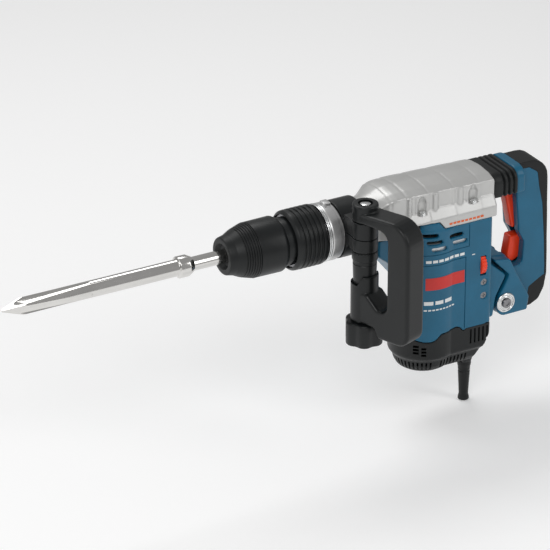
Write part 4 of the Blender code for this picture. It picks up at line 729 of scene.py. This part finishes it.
vents = []
for side in (-1, 1):
    for column_x, rows, step, first in ((0.5815, 3, 0.0062, -0.0190), (0.6200, 2, 0.0058, -0.0262)):
        for row in range(rows):
            x, z = column_x + step * row, first - 0.0098 * row
            near, far = sorted((side * 0.034, side * 0.07))
            vents.append(prism("vent", rounded([
                (x - 0.0112, z, 0.0015), (x + 0.0098, z, 0.0015), (x + 0.0120, z - 0.0056, 0.0015),
                (x - 0.0090, z - 0.0056, 0.0015)]), near, far, "Y"))
for vent in vents:
    carve(motor, vent, solver="MANIFOLD")
for z in (-0.106, -0.125):
    carve(motor, cylinder("screw_well", 0.0048, -0.06, -0.0385, "Y", (0.664, 0, z), 40),
          solver="MANIFOLD")
modify(motor, "REMESH", mode="VOXEL", voxel_size=0.0012, adaptivity=0)
modify(motor, "SMOOTH", factor=0.5, iterations=2)
for side in (-1, 1):
    for start, end, low, high in ((0.560, 0.6400, -0.0490, -0.0480), (0.560, 0.6352, -0.0634, -0.0622),
                                  (0.6346, 0.6358, -0.1650, -0.0624),
                                  (0.6394, 0.6404, -0.0490, -0.0165)):
        carve(motor, strip("groove", start, end, low, high, -0.0010, 0.004, side),
              solver="MANIFOLD")
carve(motor, prism("room", column(0.0036), -0.20, 0.05), solver="MANIFOLD")
carve(motor, cylinder("barrel_room", 0.0224, 0.5000, 0.598), solver="MANIFOLD")
carve(motor, box("window", (0.6577, -0.06, -0.0955), (0.6663, -0.030, -0.0675)), solver="MANIFOLD")
carve(motor, cylinder("pivot_hole", pivot_bore_r, -0.06, 0.06, "Y", pivot, 40),
      solver="MANIFOLD")
smooth(motor, 50)
teal = surface("teal moulded nylon", (0.006, 0.112, 0.205), 0.35, grain=2600, depth=0.014,
               mottle=0.10, scratches=0.05, coat=0.1)
fit(motor, teal, "housing", "blue_plastic", "motor_housing")

# Bottom cap: black glass-filled nylon, closed up against the motor housing along a stepped
# line, with window vents in front, slats under its lip and slots beside the cord entry.
cap_levels = ((-0.150, 0.0), (-0.1950, 0.0), (-0.1978, 0.0006), (-0.2005, 0.0028),
              (-0.2025, 0.0050), (-0.2120, 0.0076), (-0.2180, 0.0112), (-0.2215, 0.0165),
              (-0.2220, 0.0240))


def cap_rings(inward=0.0):
    return [[(x, y, z + (inward if z < -0.2130 else 0)) for x, y in column(draw + inward)]
            for z, draw in cap_levels]


def slant(shift):
    """Wedge behind the cap's sloping rear wall."""
    return prism("slant", [(0.6772 - shift, -0.1763), (0.70, -0.1763), (0.70, -0.24),
                           (0.6430 - shift, -0.24)], -0.06, 0.06, "Y")


cap = lofted("bottom_cap_moulding", cap_rings())
room = lofted("cap_room", cap_rings(0.0034))
carve(room, slant(0.0040), solver="MANIFOLD")
carve(cap, slant(0), solver="MANIFOLD")
above = prism("above", [(x, z - 0.0004) for x, z in border] + [(0.72, -0.10), (0.530, -0.10)],
              -0.06, 0.06, "Y")
carve(cap, above, solver="MANIFOLD")
modify(cap, "REMESH", mode="VOXEL", voxel_size=0.00100, adaptivity=0)
modify(cap, "SMOOTH", factor=0.5, iterations=2)
cutters = []
for side in (-1, 1):
    for x, z in ((0.5677, -0.1830), (0.5760, -0.1860)):
        for row in (-1, 0, 1):
            near, far = sorted((side * 0.026, side * 0.06))
            middle = z + 0.0046 * row
            cutters.append(box("window", (x - 0.0029, near, middle - 0.0016),
                               (x + 0.0029, far, middle + 0.0016)))
    for k in range(5):
        near, far = sorted((side * 0.0398, side * 0.06))
        x = 0.6440 + 0.0062 * k
        cutters.append(box("slot", (x, near, -0.1895), (x + 0.0026, far, -0.1690)))
    for k in range(8):
        near, far = sorted((side * 0.0315, side * 0.06))
        x = 0.6020 + 0.0055 * k
        cutters.append(box("slat", (x, near, -0.2165), (x + 0.0024, far, -0.2045)))
for k in range(19):
    slat = box("slat", (0.0345, -0.0012, -0.2165), (0.05, 0.0012, -0.2045))
    turn = math.radians(105 + 150 * k / 18)
    slat.data.transform(Matrix.Translation((motor_x, 0, 0)) @ Matrix.Rotation(turn, 4, "Z"))
    cutters.append(slat)
for cutter in cutters:
    carve(cap, cutter, solver="MANIFOLD")
carve(cap, room, solver="MANIFOLD")
carve(cap, box("notch", (0.6515, -0.0134, -0.26), (0.70, 0.0134, -0.1966)), solver="MANIFOLD")
smooth(cap, 45)
fit(cap, black_nylon, "housing", "black_plastic", "bottom_cap")

# Cord entry: a nylon gland bolted in the cap's sloping rear, and the rubber sleeve that keeps
# the cord from bending sharply where it comes out.
gland_x = 0.663
gland_rings = []
for z, shrink, far in ((-0.1970, 0.0, 0.003), (-0.2220, 0.0, 0.009), (-0.2270, 0.0015, 0.009),
                       (-0.2350, 0.0035, 0.009)):
    half, front_face, rear_face = 0.013 - shrink * 0.6, -0.011 + shrink, far - shrink
    outline = rounded([(front_face, -half, 0.004), (rear_face, -half, 0.004),
                       (rear_face, half, 0.004), (front_face, half, 0.004)], 6)
    gland_rings.append([(gland_x + x, y, z) for x, y in outline])
gland = lofted("cord_gland_moulding", gland_rings)
carve(gland, cylinder("gland_bore", 0.0065, -0.26, -0.19, "Z", (gland_x, 0, 0)))
modify(gland, "BEVEL", width=0.0007, segments=2, limit_method="ANGLE", angle_limit=math.radians(55))
smooth(gland, 40)
fit(gland, black_nylon, "housing", "black_plastic", "cord_gland")

sleeve_top, sleeve_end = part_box("cord_sleeve")[1].z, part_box("cord_sleeve")[0].z
cord_sleeve = turned("cord_sleeve_rubber", [
    (sleeve_top, 0.0042), (sleeve_top, 0.0060), (-0.2354, 0.0060), (-0.2354, 0.0090, 0.0008),
    (-0.2405, 0.0092, 0.0012), (-0.2450, 0.0082, 0.002), (-0.2490, 0.0080),
    (-0.2498, 0.0073, 0.0003), (-0.2512, 0.0073, 0.0003), (-0.2520, 0.0079),
    (-0.2850, 0.0062, 0.006), (-0.2895, 0.0073, 0.0008), (sleeve_end, 0.0074, 0.0008),
    (sleeve_end, 0.0042)], "Z", (gland_x, 0, 0))
fit(cord_sleeve, rubber, "housing", "black_rubber", "cord_sleeve")

# Bellows: soft rubber between the casing and the sprung handle, a smooth band in front and
# three folds behind it, glued to both.
bellows_profile = [(casing_end + 0.0002, 0.0), (0.6925, 0.0)]
for k in range(3):
    x = 0.6935 + 0.0074 * k
    bellows_profile += [(x, 0.0030), (x + 0.0018, 0.0030), (x + 0.0032, 0.0), (x + 0.0064, 0.0)]
bellows_profile += [(0.7162, 0.0026)]
bellows_rings = []
for x, draw in bellows_profile:
    side, top, low = 0.0362 - draw, 0.0372 - draw, 0.0045 + draw
    outline = rounded([(-side, low, 0.005), (side, low, 0.005), (side, top, 0.013),
                       (-side, top, 0.013)], 8)
    bellows_rings.append([(x, y, z) for y, z in outline])
bellows = lofted("bellows_rubber", bellows_rings)
modify(bellows, "BEVEL", width=0.0006, segments=2, limit_method="ANGLE", angle_limit=math.radians(25))
smooth(bellows, 50)
bellows.data.materials.clear()
bellows.data.materials.append(rubber)
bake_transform(bellows)
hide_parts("bellows")

# Rear handle: two teal nylon shells joined down the middle, a soft black cover over the back
# of the grip and a rubber pad on the lower corner.
def copy_of(piece):
    bpy.ops.object.select_all(action="DESELECT")
    piece.select_set(True)
    bpy.context.view_layer.objects.active = piece
    bpy.ops.object.duplicate()
    return bpy.context.object


grip = prism("grip", rounded([
    (0.716, 0.038), (0.7712, 0.038, 0.026), (0.7750, -0.127), (0.7714, -0.148, 0.012),
    (0.7630, -0.1634, 0.008), (0.7505, -0.1695, 0.006), (0.7416, -0.1698), (0.737, -0.168),
    (0.691, -0.168, 0.010), (0.6925, -0.139, 0.005), (0.708, -0.1095, 0.005), (0.6845, -0.086),
    (0.685, -0.0833), (0.710, -0.087, 0.005), (0.720, -0.108, 0.006), (0.736, -0.106, 0.008),
    (0.738, -0.075, 0.005), (0.730, -0.060, 0.005), (0.724, 0.003), (0.716, 0.003)], 6),
    -0.0200, 0.0200, "Y")
modify(grip, "BEVEL", width=0.0065, segments=5, limit_method="ANGLE", angle_limit=math.radians(50))
arms = prism("arms", rounded([
    (0.737, -0.167), (0.692, -0.1672, 0.010), (0.6933, -0.1394, 0.005), (0.709, -0.1103, 0.005),
    (0.686, -0.0865), (0.6864, -0.0841), (0.7093, -0.0878, 0.005), (0.719, -0.109, 0.006),
    (0.740, -0.148, 0.008)], 6), -0.0330, 0.0330, "Y")
modify(arms, "BEVEL", width=0.0045, segments=4, limit_method="ANGLE", angle_limit=math.radians(50))
collar = prism("collar", rounded([(-0.033, 0.0033, 0.004), (0.033, 0.0033, 0.004),
                                  (0.033, 0.0378, 0.013), (-0.033, 0.0378, 0.013)], 6),
               0.7163, 0.728, "X")
handle = moulded("handle_shells", [grip, arms, collar], 0.00115, 5)


def behind(name, shift=0.0):
    """Region behind the seam between the shells and the soft cover, or the corner pad."""
    seams = {"cover": [(0.728, 0.06), (0.7285, 0.0301), (0.7428, 0.0298), (0.7557, 0.0210, 0.006),
                       (0.7588, 0.0), (0.7645, -0.025), (0.7685, -0.074), (0.7708, -0.117),
                       (0.7706, -0.1285), (0.80, -0.1285), (0.80, 0.06)],
             "pad": [(0.7706, -0.1288), (0.7630, -0.1325, 0.002), (0.7470, -0.1414, 0.004),
                     (0.7414, -0.18), (0.80, -0.18), (0.80, -0.1288)]}
    points = [(corner[0] - shift, corner[1] - shift * 0.6, *corner[2:]) for corner in seams[name]]
    return prism(name, rounded(points), -0.05, 0.05, "Y")


grip_cover, corner_pad = copy_of(handle), copy_of(handle)
for piece, name in ((grip_cover, "cover"), (corner_pad, "pad")):
    region = behind(name)
    modify(piece, "BOOLEAN", operation="INTERSECT", object=region, solver="MANIFOLD")
    bpy.data.objects.remove(region, do_unlink=True)
    piece.name = "grip_" + name + "_rubber"
    smooth(piece, 50)
    soft = surface("soft grip rubber " + name, (0.006, 0.0070, 0.0073), 0.52, grain=1400,
                   depth=0.06, mottle=0.25)
    fit(piece, soft, "rear_handle", "black_rubber",
        "grip_cover" if name == "cover" else "corner_pad")
for cutter in (
        behind("cover", 0.0004), behind("pad", 0.0004),
        prism("fork", rounded([(0.674, -0.132), (0.719, -0.132, 0.014), (0.719, -0.18),
                               (0.674, -0.18)], 6), -0.0197, 0.0197, "Y"),
        prism("switch_gap", [(0.706, -0.112), (0.742, -0.112), (0.742, 0.007), (0.706, 0.007)],
              -0.0086, 0.0086, "Y"),
        prism("grip_room", rounded([
            (0.732, 0.024, 0.004), (0.7555, 0.024, 0.012), (0.7600, -0.129, 0.004),
            (0.744, -0.1375, 0.003), (0.739, -0.156), (0.730, -0.156, 0.004), (0.741, -0.105),
            (0.741, -0.070), (0.734, -0.056)], 4), -0.0168, 0.0168, "Y"),
        cylinder("pivot_bore", pivot_bore_r, -0.06, 0.06, "Y", pivot, 40)):
    carve(handle, cutter, solver="MANIFOLD")
smooth(handle, 50)
fit(handle, teal, "rear_handle", "blue_plastic", "handle_shell_left", "handle_shell_right")

# Trigger and lock paddle: orange-red mouldings in the slot at the front of the grip, each
# with its edges well rounded where a finger or the palm presses it.
orange_red = surface("orange-red moulding", (0.86, 0.050, 0.010), 0.34, grain=2000, depth=0.012,
                     mottle=0.08, coat=0.15)
trigger = prism("trigger_moulding", rounded([
    (0.713, 0.0012, 0.003), (0.733, 0.0012), (0.733, -0.056), (0.7262, -0.0580, 0.003)], 6),
    -0.008, 0.008, "Y")
paddle = prism("lock_paddle_moulding", rounded([
    (0.724, -0.069, 0.003), (0.740, -0.069), (0.740, -0.101), (0.726, -0.107, 0.006),
    (0.719, -0.097, 0.010)], 6), -0.008, 0.008, "Y")
for piece, name in ((trigger, "trigger"), (paddle, "lock_paddle")):
    modify(piece, "BEVEL", width=0.0024, segments=4, limit_method="ANGLE",
           angle_limit=math.radians(50))
    smooth(piece, 40)
    fit(piece, orange_red, name, "red_plastic", name)

# Speed wheel: a thin orange-red moulded disc with 24 teeth round its rim, which stands out
# of its window in the motor housing so that a thumb can turn it.
wheel_low, wheel_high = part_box("speed_wheel")
wheel_y, wheel_z = (wheel_low.y + wheel_high.y) / 2, (wheel_low.z + wheel_high.z) / 2
outline = []
for k in range(24):
    for share, radius in ((-0.32, 0.0160), (-0.10, 0.0160), (0.12, 0.0160), (0.30, 0.0158),
                          (0.42, 0.0151), (0.58, 0.0151)):
        angle = math.tau * (k + share) / 24
        outline.append((wheel_y + radius * math.cos(angle), wheel_z + radius * math.sin(angle)))
speed_wheel = prism("speed_wheel_moulding", outline, wheel_low.x, wheel_high.x, "X")
modify(speed_wheel, "BEVEL", width=0.0005, segments=2, limit_method="ANGLE",
       angle_limit=math.radians(60))
smooth(speed_wheel, 40)
fit(speed_wheel, orange_red, "speed_wheel", "red_plastic", "speed_wheel")

# Pivot of the rear handle: stepped bright washers on both sides under a domed bolt with a
# socket, which goes through the motor housing's tongue.
for side, word in ((-1, "left"), (1, "right")):
    washer = turned("pivot_washer_part_" + word, [
        (side * 0.0333, 0.0054), (side * 0.0333, 0.0135), (side * 0.0346, 0.0135, 0.0005),
        (side * 0.0356, 0.0124, 0.0006), (side * 0.0356, 0.0112, 0.0003),
        (side * 0.0345, 0.0104, 0.0003), (side * 0.0345, 0.0090, 0.0003),
        (side * 0.0352, 0.0082, 0.0003), (side * 0.0352, 0.0054)], "Y", pivot)
    fit(washer, bright_metal, "rear_handle", "bright_zinc", "pivot_washer_" + word)
pivot_bolt = turned("pivot_bolt_part", [
    (-0.0374, 0), (-0.0374, 0.0028), (-0.0385, 0.0030, 0.0002), (-0.0385, 0.0058, 0.0008),
    (-0.0360, 0.0073, 0.0006), (-0.0360, 0.0050), (0.0360, 0.0050), (0.0360, 0.0073, 0.0006),
    (0.0385, 0.0058, 0.0008), (0.0385, 0)], "Y", pivot)
dark_steel = surface("hardened oiled steel", (0.26, 0.26, 0.27), 0.30, 1.0, grain=900, depth=0.005,
                     mottle=0.12, scratches=0.08)
fit(pivot_bolt, dark_steel, "housing", "hardened_steel", "pivot_bolt")

# Service screws: two small cross-head screws of oiled steel in the wells under the speed
# wheel, their crosses cut straight across the head.
for k, z in enumerate((-0.106, -0.125)):
    screw = cylinder(f"service_screw_{k}", 0.0045, -0.0402, -0.0378, "Y", (0.664, 0, z), 48)
    for size in ((0.0028, 0.0007), (0.0007, 0.0028)):
        carve(screw, box("cross", (0.664 - size[0], -0.05, z - size[1]),
                         (0.664 + size[0], -0.0392, z + size[1])))
    smooth(screw)
    fit(screw, dark_steel, "housing", "hardened_steel")

# Printed marks: plain bars and dashes in red, white and orange, where the maker's lettering
# would be; they follow the round of the motor housing and carry no wording.
def mark(start, end, low, high):
    return strip("mark", start, end, low, high, -0.0010, 0.00035)


red_print = surface("red printed mark", (0.60, 0.035, 0.03), 0.38, grain=1200, depth=0.004, mottle=0.06)
white_print = surface("white printed mark", (0.78, 0.80, 0.80), 0.42, grain=1200, depth=0.004, mottle=0.04)
orange_print = surface("orange printed mark", (0.72, 0.13, 0.03), 0.42, grain=1200, depth=0.004,
                       mottle=0.06)
red_bar = mark(0.5765, 0.6335, -0.0975, -0.0805)
red_bar.name = "red_bar"
fit(red_bar, red_print, "housing", "red_plastic")
white_bars = [mark(0.5765 + 0.0083 * k, 0.5830 + 0.0083 * k, -0.0592, -0.0556) for k in range(7)]
white_bars += [mark(0.5750 + 0.0140 * k, 0.5862 + 0.0140 * k, -0.1187, -0.1137) for k in range(3)]
white_bars += [mark(0.5750 + 0.0050 * k, 0.5785 + 0.0050 * k, -0.1270, -0.1252) for k in range(9)]
white_bars.append(mark(0.6445, 0.6487, -0.0624, -0.0612))
fit(joined("white_bars", white_bars), white_print, "housing", "silver_paint")
orange_bars = [box("mark", (0.6085 + 0.0058 * k, -skirt_wide - 0.0004, -0.0108),
                   (0.6128 + 0.0058 * k, -skirt_wide + 0.0012, -0.0080)) for k in range(9)]
fit(joined("orange_bars", orange_bars), orange_print, "housing", "red_plastic")

# Parts inside: the mechanism, the motor and the electronics keep their own shapes and take
# the finish of their material slot.
copper = surface("copper bars", (0.62, 0.28, 0.15), 0.32, 1.0, grain=1500, depth=0.01, mottle=0.1)
carbon = surface("pressed carbon", (0.025, 0.025, 0.026), 0.6, grain=2500, depth=0.02, mottle=0.2)
board = surface("potting compound", (0.012, 0.05, 0.03), 0.4, grain=1200, depth=0.02, mottle=0.2)
finishes = {"chisel_steel": steel, "hardened_steel": dark_steel, "bright_zinc": bright_metal,
            "silver_paint": silver, "aluminium": light_alloy, "blue_plastic": teal,
            "black_plastic": black_nylon, "black_rubber": rubber, "red_plastic": orange_red,
            "copper": copper, "carbon": carbon, "electronics": board}
for part in frame["record"]["subparts"]:
    for material_slot in nodes[part["node"]].material_slots:
        material_slot.material = finishes[part["material_slot"]]
